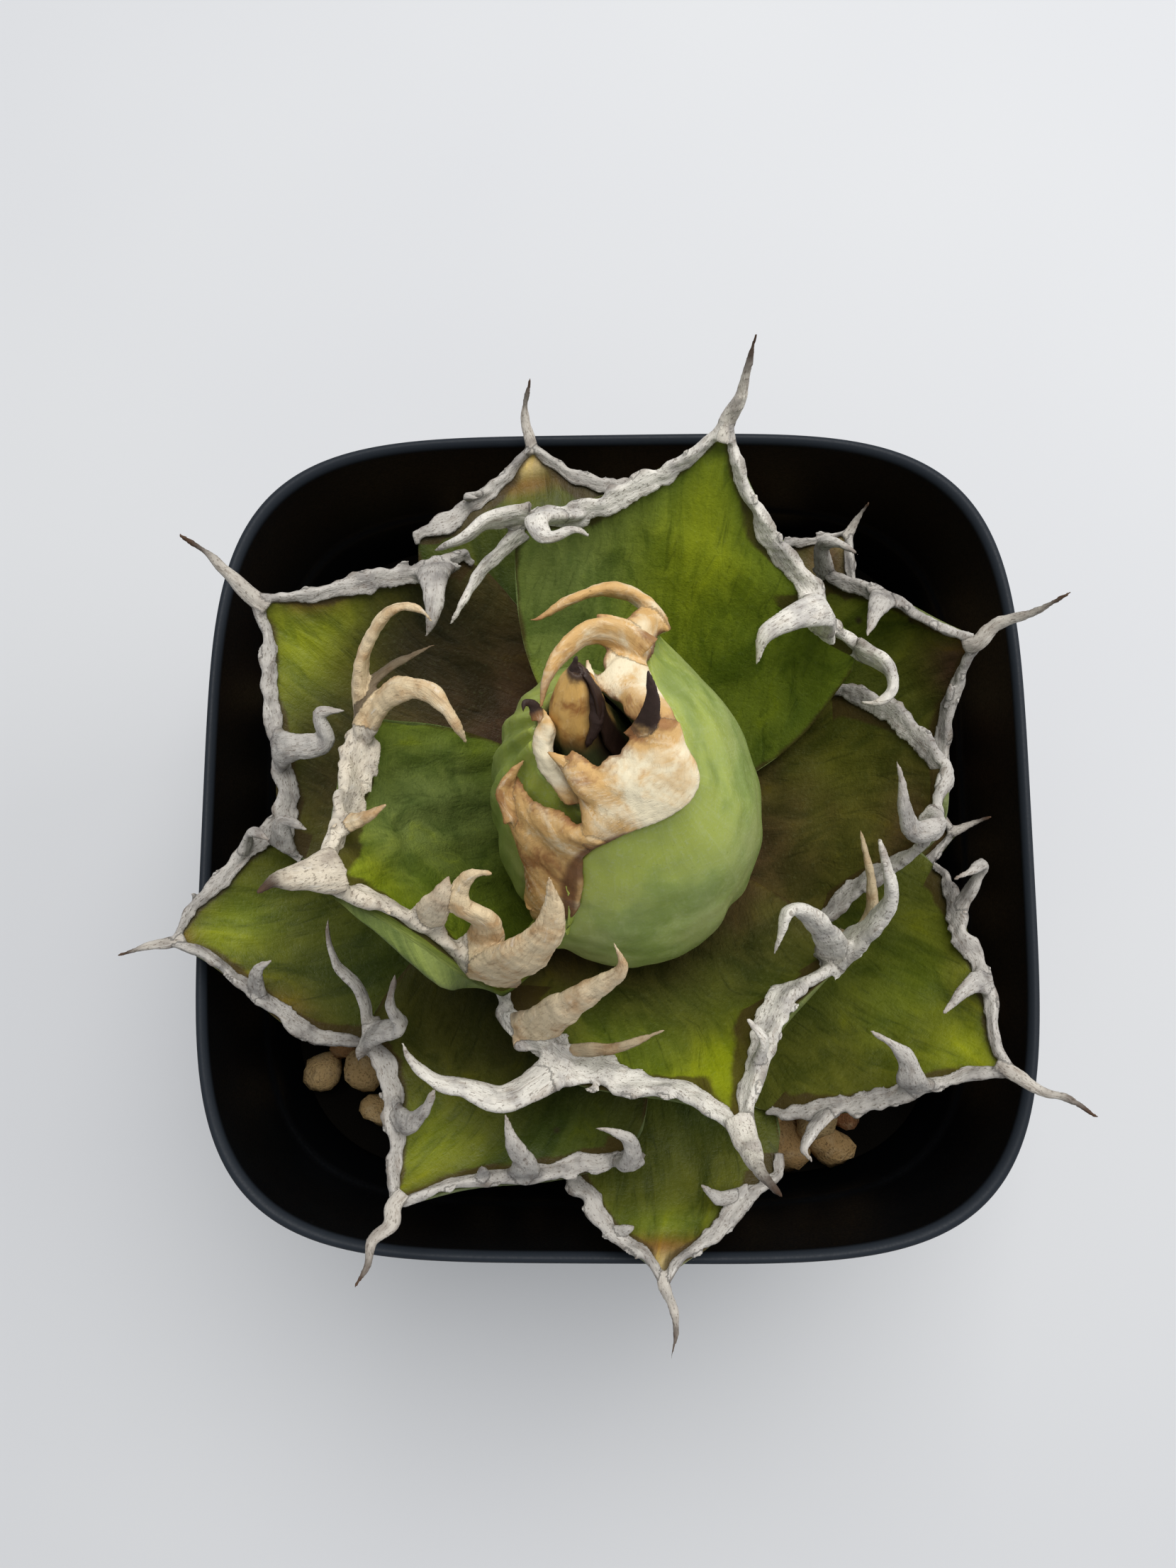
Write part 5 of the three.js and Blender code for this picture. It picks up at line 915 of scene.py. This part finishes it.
def inner_leaf(finish):
    """The innermost leaf: a sheet rolled once and a half round a leaning axis, whose radius draws in to
    a point; along its right side the roll stays open as a slit, whose shadow is painted near black in its
    finish."""
    centres = knots("1 -1 1, 0.8 -0.6 12, 0 0.8 24, -2 3.4 34, -3.9 5.2 42, "
        "-4.6 6.9 46.6, -4.5 8.6 50, -4.3 9.8 52")
    radii = np.array([[5.5], [8.4], [8.6], [6.4], [4.1], [3.0], [1.9], [0.7]])
    rows, columns = 84, 110
    v = np.linspace(0, 1, rows)
    axis = bend(centres, v)
    radius = bend(np.hstack([radii, radii * 0, radii * 0]), v)[:, :1]
    u = np.linspace(0, 1, columns)[None, :]
    turn = np.radians(-38 + 470 * u)
    roll = radius * (1.0 - 0.34 * u + 0.03 * np.sin(9 * turn + 3 * v[:, None]))
    open_side = 1 + 0.28 * np.exp(-((u - 0.02) / 0.07) ** 2) * np.clip((v[:, None] - 0.6) * 4, 0, 1)
    roll = roll * open_side
    face = axis[:, None] + np.stack([roll * np.cos(turn), roll * np.sin(turn), np.zeros_like(roll)], -1)
    face += (0.12 * lumps(face, 6, 81))[..., None]
    out = np.stack([np.cos(turn), np.sin(turn), np.zeros_like(turn)], -1) * np.ones((rows, 1, 1))
    rings = np.concatenate([face + out * 0.25, (face - out * 0.25)[:, ::-1]], 1)
    sides = 2 * columns
    faces = sheet_faces(rows, columns)
    uu = np.concatenate([u, u[:, ::-1]], 1) * np.ones((rows, 1))
    high = np.repeat(v[:, None], sides, 1)
    grain = np.stack([uu * 30, high * 52, np.zeros_like(uu)], -1)
    marks = {"turn": uu.ravel(), "high": high.ravel(), "grain": grain.reshape(-1, 3)}
    piece = face_out(mesh_piece("bud_inner_roll", rings.reshape(-1, 3), faces, marks, finish))
    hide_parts("bud_inner_leaf")
    return piece


def inner_spine(finish):
    """The dark spine of the innermost leaf with the ribbon that runs down from it, and the second
    leaf's horny rim with its small spine: curved horns and one plate."""
    made, courses = plate("rim", 96)
    parts = [made]
    for seed, (root, wide, path, tone, kind) in enumerate([
        [1.15, [1, 0, 0], "-4.4 8.2 49, -4.6 9.6 51.4, -4.3 11 53.2", 2, 2],
        [0.9, [1, 0.2, 0], "-4.3 9.6 51.6, -3.5 8.6 50.2, -2.5 7 48.6, -2.5 5 47, -3.6 3 45", 2, 1],
        [0.75, [0.9, 0.2, 0], "-8.4 5.9 46.9, -9.1 7.2 48, -9.9 7.2 48.5, -10 6.2 48.6", 1.3, 2],
    ]):
        made, course = horn(knots(path), root, unit(np.array(wide, float)), fullness=3 if seed == 1 else 1.2,
            flare=0.1, tone=tone, seed=90 + seed, kind=kind)
        parts.append(made)
        courses.append(course)
    points, faces, normals = grown_together(parts, 0.2)
    marks = read_off(points, courses)
    marks["edge"] = np.full(len(points), 5.0)
    points = points + normals * (0.06 * lumps(points, 1.6, 91, 2))[:, None]
    return mesh_piece("bud_inner_horn", points, faces, marks, finish)


def stem_piece(finish):
    """The short stem: a profile turned round the plant's axis, ringed by old leaf scars."""
    profile = knots("0.2 0 -52, 6 0 -51.9, 8.5 0 -36, 10 0 -26, 9.5 0 -12, 7.5 0 -6, 6 0 -0.2, 0.2 0 0")
    line = bend(profile, np.linspace(0, 1, 90))
    turn = np.linspace(0, 2 * math.pi, 60, endpoint=False)
    radius = np.maximum(line[:, :1], 0.1) - 0.35 * (1 + np.sin(line[:, 2:] * 2.2 + 2 * turn[None]))
    radius = np.maximum(radius, 0.05)
    rings = np.stack([radius * np.cos(turn), radius * np.sin(turn), line[:, 2:] + 0 * turn], -1)
    points, faces = closed_tube(rings)
    piece = face_out(mesh_piece("stem_bark", points, faces, None, finish))
    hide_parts("stem")
    return piece


# The pot's half profile [half width, height], from the middle of its bottom over the rim to the
# middle of its inside floor, and the exponent that draws a circle out to a rounded square.
POT = ("0 0, 48.5 0, 49.9 0.25, 51.2 1.6, 51.5 3, 54.4 42, 57.9 80.6, 58.1 81.6, 58.55 83, 58.7 84, "
    "59.3 101.4, 59.4 101.9, 59.95 102.3, 60 102.8, 60 104.2, 59.8 104.75, 59.4 105, 59 104.9, "
    "58.5 104.4, 58.35 103.6, 57.6 92, 57 84, 56.9 83.3, 56.6 82.8, 56.2 82.4, 56.1 81.6, 53 43, 49.8 7, "
    "49.5 5.2, 48.6 3.4, 46.7 2.5, 44 2.4, 0 2.4")
SQUARENESS = 4.48


def squared(radius, angle):
    """A superellipse: the radius times (|cos|^n + |sin|^n)^(-1/n)."""
    across, along_it = np.abs(np.cos(angle)) ** SQUARENESS, np.abs(np.sin(angle)) ** SQUARENESS
    return radius * (across + along_it) ** (-1 / SQUARENESS)


def pot_piece(finish):
    """The pot: its profile turned round and drawn out to a rounded square, with four drain holes."""
    profile = knots(POT)
    even = np.linspace(0, 2 * math.pi, 288, endpoint=False)
    angle = even + 0.13 * np.sin(4 * even)
    radius = np.maximum(profile[:, :1], 0.02)
    reach = squared(radius, angle[None])
    rings = np.stack([reach * np.cos(angle), reach * np.sin(angle), profile[:, 1:] + 0 * angle], -1)
    points, faces = closed_tube(rings)
    share = np.repeat(np.concatenate([profile[:1, 1], profile[:, 1], profile[-1:, 1]]), len(angle))
    piece = face_out(mesh_piece("pot_shell", points, faces, {"high": share}, finish, shift=0))
    for k in range(4):
        turn = math.pi / 4 + k * math.pi / 2
        ring = np.linspace(0, 2 * math.pi, 40, endpoint=False)
        stack = np.array([-5.0, 8.0])
        drill = np.stack([30 * math.cos(turn) + 3.2 * np.cos(ring) + 0 * stack[:, None],
            30 * math.sin(turn) + 3.2 * np.sin(ring) + 0 * stack[:, None], stack[:, None] + 0 * ring], -1)
        points, faces = closed_tube(drill)
        tool = face_out(mesh_piece("drill", points, faces, shift=0))
        cut = piece.modifiers.new("drain", "BOOLEAN")
        cut.operation = "DIFFERENCE"
        cut.solver = "EXACT"
        cut.object = tool
        mesh = bpy.data.meshes.new_from_object(piece.evaluated_get(bpy.context.evaluated_depsgraph_get()))
        piece.modifiers.clear()
        piece.data = mesh
        bpy.data.objects.remove(tool)
    piece.data.name = "pot_shell"
    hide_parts("pot")
    return piece


def granules(finish):
    """Clay granules over a lumpy sheet, painted near black as the shade between them: each is a ball cut
    by random planes, its radius in a direction being a soft least of plane distances, so it has rounded
    facets."""
    rng = np.random.default_rng(11)
    pitch = 6.9
    i, j = np.meshgrid(np.arange(-8, 9), np.arange(-8, 9), indexing="ij")
    x = (i * pitch + (j % 2) * pitch / 2).ravel() + rng.uniform(-1.2, 1.2, i.size)
    y = (j * pitch * 0.9).ravel() + rng.uniform(-1.2, 1.2, i.size)
    size = rng.uniform(2.9, 4.5, i.size)
    square = (np.abs(x) ** SQUARENESS + np.abs(y) ** SQUARENESS) ** (1 / SQUARENESS)
    keep = (square + size < 54.6) & (np.hypot(x - 1, y - 1) > 17)
    x, y, size = x[keep], y[keep], size[keep]
    z = 76.0 + rng.uniform(-1.8, 1.4, len(x))
    around, up = 12, 8
    polar = np.linspace(0.02, math.pi - 0.02, up)[:, None]
    turn = np.linspace(0, 2 * math.pi, around, endpoint=False)[None]
    way = np.stack([np.sin(polar) * np.cos(turn), np.sin(polar) * np.sin(turn), np.cos(polar) + 0 * turn], -1)
    way = way.reshape(-1, 3)
    planes = unit(rng.normal(size=(len(x), 11, 3)))
    far = rng.uniform(0.72, 1.1, (len(x), 11))
    hit = np.maximum(np.einsum("gkc,vc->gvk", planes, way), 0.05) / far[:, None]
    radius = np.power(np.power(hit, 9).sum(2), -1 / 9).clip(0.55, 1.15)
    stretch = rng.uniform(0.8, 1.12, (len(x), 1, 3))
    points = way[None] * radius[..., None] * size[:, None, None] * stretch
    points += 0.22 * lumps(points + rng.uniform(0, 90, (len(x), 1, 3)), 2.4, 12)[..., None] * way[None]
    points += np.stack([x, y, z], -1)[:, None]
    ball = quads(up, around)
    faces = (ball[None] + (np.arange(len(x)) * len(way))[:, None, None]).reshape(-1, 4)
    tint = np.repeat(rng.uniform(0, 1, len(x)), len(way))
    cells = 80
    a, b = np.meshgrid(np.linspace(-1, 1, cells), np.linspace(-1, 1, cells), indexing="ij")
    angle = np.arctan2(b, a)
    disc = np.maximum(np.abs(a), np.abs(b))
    reach = squared(54.4, angle) * disc
    shade_sheet = np.stack([reach * np.cos(angle), reach * np.sin(angle), 0 * a], -1)
    shade_sheet[..., 2] = 72.0 + 1.0 * lumps(shade_sheet, 5.5, 14, 3) * (disc < 0.98)
    top_faces = quads(cells, cells, len(points.reshape(-1, 3)), closed=False)
    both = [points.reshape(-1, 3), shade_sheet.reshape(-1, 3)]
    faces = np.concatenate([faces, top_faces])
    # the sheet under the granules gets tint 2, which its finish paints near black as shade
    tint = np.concatenate([tint, np.full(cells * cells, 2.0)])
    piece = face_out(mesh_piece("granule_fill", np.concatenate(both), faces, {"tint": tint}, finish, shift=0))
    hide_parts("soil")
    return piece


# Finishes
def bud_finish():
    """The bud's skin: pale glaucous green, yellower in a band below the lip, powdery all over, a
    brown line at the lip, tiny pores; painted shade darkens it lower down and on its inner face."""
    f = Finish("bud_green", 0.38, 0.42)
    grain = f.mark("grain", "Vector")
    lines = f.noise(f.stretch(grain, (1, 0.2, 1)), 1.3, 4, 0.6, 0.3)
    cloud = f.noise(f.place, 8, 3, 0.5)
    fine = f.noise(f.place, 0.5, 3, 0.7)
    rim = f.mark("rim")
    colour = f.mix(f.ramp(cloud, 0.35, 0.7), (0.25, 0.33, 0.085), (0.33, 0.38, 0.125))
    band = f.times(f.ramp(rim, 19, 7), f.ramp(cloud, 0.25, 0.6, 0.4, 1))
    colour = f.mix(f.times(band, 0.75), colour, (0.34, 0.4, 0.045))
    colour = f.coat(colour, lines, 0.5, 0.8, 0.35, (0.42, 0.48, 0.2))
    colour = f.coat(colour, fine, 0.45, 0.8, 0.45, (0.4, 0.46, 0.25))
    colour = f.coat(colour, cloud, 0.5, 0.35, 0.4, (0.14, 0.2, 0.035))
    colour = f.coat(colour, f.cells(f.place, 1.5), 0.09, 0.03, 0.35, (0.12, 0.16, 0.04))
    # painted shade: darker green lower down, where the bud stands deep among the leaves
    colour = f.coat(colour, rim, 26, 46, 0.7, (0.09, 0.12, 0.03))
    colour = f.coat(colour, rim, 0.5, 0.15, 1, (0.09, 0.035, 0.012))
    # painted shade: the inner face is darkened as if out of the light
    colour = f.mix(f.mark("inside"), colour, (0.12, 0.13, 0.06))
    height = f.plus(lines, f.times(fine, 0.6))
    return f.done(colour, f.ramp(fine, 0.3, 0.8, 0.34, 0.52), height, 0.1, 0.6)


def plate_finish():
    """Dried papery horn: cream in the middle of a plate, tan and brown in clouds, with a fine grain
    along it, dark brown where it meets the green lip and at the tips."""
    f = Finish("dried_horn", 0.6, 0.35)
    grain = f.mark("grain", "Vector")
    fibre = f.noise(f.stretch(grain, (0.3, 1, 1)), 0.8, 4, 0.6, 0.6)
    cloud = f.noise(f.place, 5.5, 4, 0.62, 0.4)
    spot = f.noise(f.place, 1.3, 3, 0.6)
    tan = f.plus(f.mark("tan"), f.times(f.sum("SUBTRACT", cloud, 0.47), 3.4))
    colour = f.mix(f.ramp(tan, 0.1, 0.9), (0.7, 0.62, 0.44), (0.55, 0.34, 0.13))
    colour = f.coat(colour, tan, 0.95, 1.5, 0.9, (0.27, 0.12, 0.04))
    colour = f.coat(colour, fibre, 0.5, 0.75, 0.45, (0.85, 0.76, 0.58))
    colour = f.coat(colour, fibre, 0.42, 0.2, 0.6, (0.36, 0.2, 0.08))
    colour = f.coat(colour, spot, 0.6, 0.8, 0.5, (0.35, 0.18, 0.07))
    colour = f.coat(colour, f.mark("edge"), 1.75, 1.05, 0.9, (0.12, 0.045, 0.015))
    fringe = f.plus(f.mark("fringe"), f.times(f.sum("SUBTRACT", spot, 0.5), 0.4))
    colour = f.coat(colour, fringe, 0.82, 1.02, 0.75, (0.2, 0.085, 0.03))
    tip = f.plus(f.mark("tip"), f.times(spot, 0.3))
    colour = f.coat(colour, tip, 0.8, 1.2, 0.75, (0.3, 0.15, 0.06))
    dark = f.times(f.mark("spine"), f.ramp(tip, 0.1, 0.45))
    dark = f.sum("MAXIMUM", dark, f.ramp(f.mark("tan"), 1.4, 1.9))
    colour = f.mix(dark, colour, (0.028, 0.014, 0.01))
    height = f.plus(fibre, f.times(spot, 0.6))
    return f.done(colour, f.ramp(fibre, 0.3, 0.7, 0.7, 0.5), height, 0.2, 0.8)


def roll_finish():
    """The innermost leaf: amber and cream outside with brown clouds, near black at its tip, green
    further down; its slit and inner turns are painted near black as shade."""
    f = Finish("amber_leaf", 0.5, 0.4)
    grain = f.mark("grain", "Vector")
    fibre = f.noise(f.stretch(grain, (1, 0.25, 1)), 0.9, 4, 0.6, 0.4)
    cloud = f.noise(f.place, 3.2, 4, 0.6, 0.3)
    colour = f.mix(f.ramp(cloud, 0.45, 0.7), (0.64, 0.38, 0.11), (0.32, 0.13, 0.03))
    colour = f.coat(colour, fibre, 0.5, 0.78, 0.6, (0.75, 0.52, 0.24))
    high, turn = f.mark("high"), f.mark("turn")
    colour = f.coat(colour, high, 0.72, 0.6, 1, (0.06, 0.07, 0.025))
    tip = f.ramp(f.plus(high, f.times(cloud, 0.1)), 0.98, 1.05)
    colour = f.mix(tip, colour, (0.05, 0.026, 0.014))
    # painted shade: near black along the open edge and on the inner turns, where the slit is in shadow
    slit = f.sum("MAXIMUM", f.ramp(turn, 0.7, 0.78), f.ramp(turn, 0.085, 0.06))
    colour = f.mix(slit, colour, (0.03, 0.014, 0.009))
    return f.done(colour, 0.5, fibre, 0.15, 0.8)


def granule_finish():
    """Fired clay: tan to golden brown, each granule with its own tint, mottled, with dust and pits."""
    f = Finish("clay_granule", 0.95, 0.05)
    cloud = f.noise(f.place, 2.4, 4, 0.65)
    pits = f.noise(f.place, 0.45, 3, 0.7)
    tint = f.mark("tint")
    colour = f.mix(f.ramp(tint, 0.0, 0.75), (0.56, 0.4, 0.19), (0.42, 0.26, 0.11))
    colour = f.coat(colour, tint, 0.78, 0.95, 0.8, (0.22, 0.085, 0.04))
    colour = f.coat(colour, cloud, 0.45, 0.75, 0.6, (0.55, 0.42, 0.25))
    colour = f.coat(colour, pits, 0.5, 0.3, 0.7, (0.1, 0.06, 0.03))
    # painted shade: tint 2, the sheet under the granules, turns near black for the shadow between them
    colour = f.coat(colour, tint, 1.0, 1.9, 1, (0.0035, 0.0028, 0.002))
    return f.done(colour, None, f.plus(pits, f.times(cloud, 1.5)), 0.4, 0.9)


def pot_finish():
    """Black moulded plastic: satin, faintly mottled and scuffed, with a painted highlight along the top of
    its rim.
    """
    f = Finish("black_plastic", 0.5, 0.13)
    fine = f.noise(f.place, 0.35, 2, 0.6)
    cloud = f.noise(f.place, 14, 3, 0.55)
    scuff = f.noise(f.stretch(f.place, (1, 1, 0.15)), 0.8, 3, 0.6)
    colour = f.mix(f.ramp(cloud, 0.35, 0.7), (0.0008, 0.0012, 0.0018), (0.0015, 0.0021, 0.003))
    colour = f.coat(colour, scuff, 0.66, 0.85, 0.25, (0.012, 0.014, 0.018))
    # painted highlight: a lighter bluish band along the top of the rim
    lip = f.ramp(f.mark("high"), 103.6, 104.6, 0, 0.8)
    colour = f.mix(lip, colour, (0.02, 0.025, 0.033))
    return f.done(colour, f.ramp(fine, 0.3, 0.7, 0.42, 0.56), fine, 0.03, 0.5)


def bark_finish():
    """The stem: grey brown, fibrous, with darker rings."""
    f = Finish("stem_bark", 0.9, 0.2)
    fibre = f.noise(f.stretch(f.place, (1, 1, 3)), 1.6, 4, 0.6)
    colour = f.mix(f.ramp(fibre, 0.35, 0.7), (0.07, 0.05, 0.03), (0.2, 0.15, 0.085))
    return f.done(colour, None, fibre, 0.5, 0.9)


# The stage: metres, watts, degrees; the lens as it would be in the photo's own pixels.
FLOOR_REACH = 3
FLOOR_HEIGHT = -0.0003
LAMPS = [["overhead", (0.12, 0.34, 1.0), 0.7, 10.0], ["side", (0.75, 0.15, 0.6), 0.4, 1.6]]
FOCAL_PIXELS = 1661
PHOTO_HEIGHT = 2212
CAMERA_PLACE = (0.00093, -0.01732, 0.27365)
CAMERA_TURN = (8.03, 1.54, -0.10)


def studio():
    """A plain pale floor, soft even light from a bright world and a wide lamp overhead, and the
    camera over the plant, leaning a little, as in the photo."""
    ground = bpy.data.meshes.new("floor")
    corners = [(FLOOR_REACH * x, FLOOR_REACH * y, FLOOR_HEIGHT)
        for x, y in ((-1, -1), (1, -1), (1, 1), (-1, 1))]
    ground.from_pydata(corners, [], [(0, 1, 2, 3)])
    floor = bpy.data.objects.new("floor", ground)
    bpy.context.scene.collection.objects.link(floor)
    f = Finish("paper", 0.9, 0.1)
    cloud = f.noise(f.place, 160, 2, 0.5)
    paper = f.mix(f.ramp(cloud, 0.3, 0.7), (0.61, 0.62, 0.645), (0.625, 0.635, 0.655))
    ground.materials.append(f.done(paper))
    world = bpy.data.worlds.new("studio")
    bpy.context.scene.world = world
    world.use_nodes = True
    world.node_tree.nodes["Background"].inputs[0].default_value = (0.93, 0.965, 1.0, 1)
    world.node_tree.nodes["Background"].inputs[1].default_value = 0.4
    for name, place, size, power in LAMPS:
        lamp = bpy.data.lights.new(name, "AREA")
        lamp.size = size
        lamp.energy = power
        lamp.color = (1.0, 0.985, 0.96)
        holder = bpy.data.objects.new(name, lamp)
        bpy.context.scene.collection.objects.link(holder)
        holder.location = place
        aim = np.array([0, 0, 0.1]) - place
        flat = math.atan2(aim[1], aim[0])
        tilt = math.atan2(math.hypot(aim[0], aim[1]), -aim[2])
        holder.rotation_euler = (0, tilt, flat + math.pi)
    lens = bpy.data.cameras.new("camera")
    lens.sensor_fit = "AUTO"
    lens.sensor_width = 36
    lens.lens = lens.sensor_width * FOCAL_PIXELS / PHOTO_HEIGHT
    lens.clip_start = 0.005
    camera = bpy.data.objects.new("camera", lens)
    bpy.context.scene.collection.objects.link(camera)
    camera.location = CAMERA_PLACE
    camera.rotation_euler = [math.radians(turn) for turn in CAMERA_TURN]
    bpy.context.scene.camera = camera
    bpy.context.scene.view_settings.view_transform = "Standard"


studio()
pieces = []
YOUNG = leaf_finish("young_leaf", 1, 0.45, 0.3, 0.0)
GREEN = leaf_finish("mature_leaf", 2, 0.4, 0.16, 0.1)
OLD = leaf_finish("old_leaf", 3, 0.22, 0.06, 0.9)
HORNS = {1: horn_finish("horn_young", 1, (0.6, 0.54, 0.44), (0.3, 0.27, 0.235)),
    2: horn_finish("horn_white", 2),
    4: horn_finish("horn_grey", 3, (0.46, 0.435, 0.4), (0.2, 0.185, 0.175), 0.6, 0.4)}
for values in LEAVES:
    row = dict(zip(LEAF_FIELDS, values))
    number = int(row["name"][-2:])
    leaf = Leaf(row)
    green = YOUNG if number == 1 else GREEN if number < 6 else OLD
    slot = "young_leaf" if number == 1 else "leaf_green" if number < 6 else "old_leaf"
    pieces.append((blade(leaf, green), slot))
    finish = HORNS[1] if number == 1 else HORNS[2] if number in (2, 3) else HORNS[4]
    voxel = 0.25 if number < 4 else 0.27 if number < 7 else 0.3
    pieces.append((border(leaf, finish, voxel, 0.75 if number == 1 else 0.0), "pale_horn"))

skin, dried, clay = bud_finish(), plate_finish(), granule_finish()
pieces += [
    (furled_piece("bud_outer_skin", OUTER, lambda b: 0 * b, skin, "bud_outer_leaf", 160, 84, False,
        outer_relief), "young_leaf"),
    (furled_piece("bud_second_skin", SECOND, second_inset, skin, "bud_second_leaf", 170, 70, True,
        second_relief), "young_leaf"),
    (bud_border(dried), "dried_horn"),
    (inner_leaf(roll_finish()), "inner_leaf"),
    (inner_spine(dried), "dried_horn"),
    (stem_piece(bark_finish()), "stem_skin"),
    (pot_piece(pot_finish()), "pot_plastic"),
    (granules(clay), "granules"),
]
for piece, slot in pieces:
    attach(piece, "root")
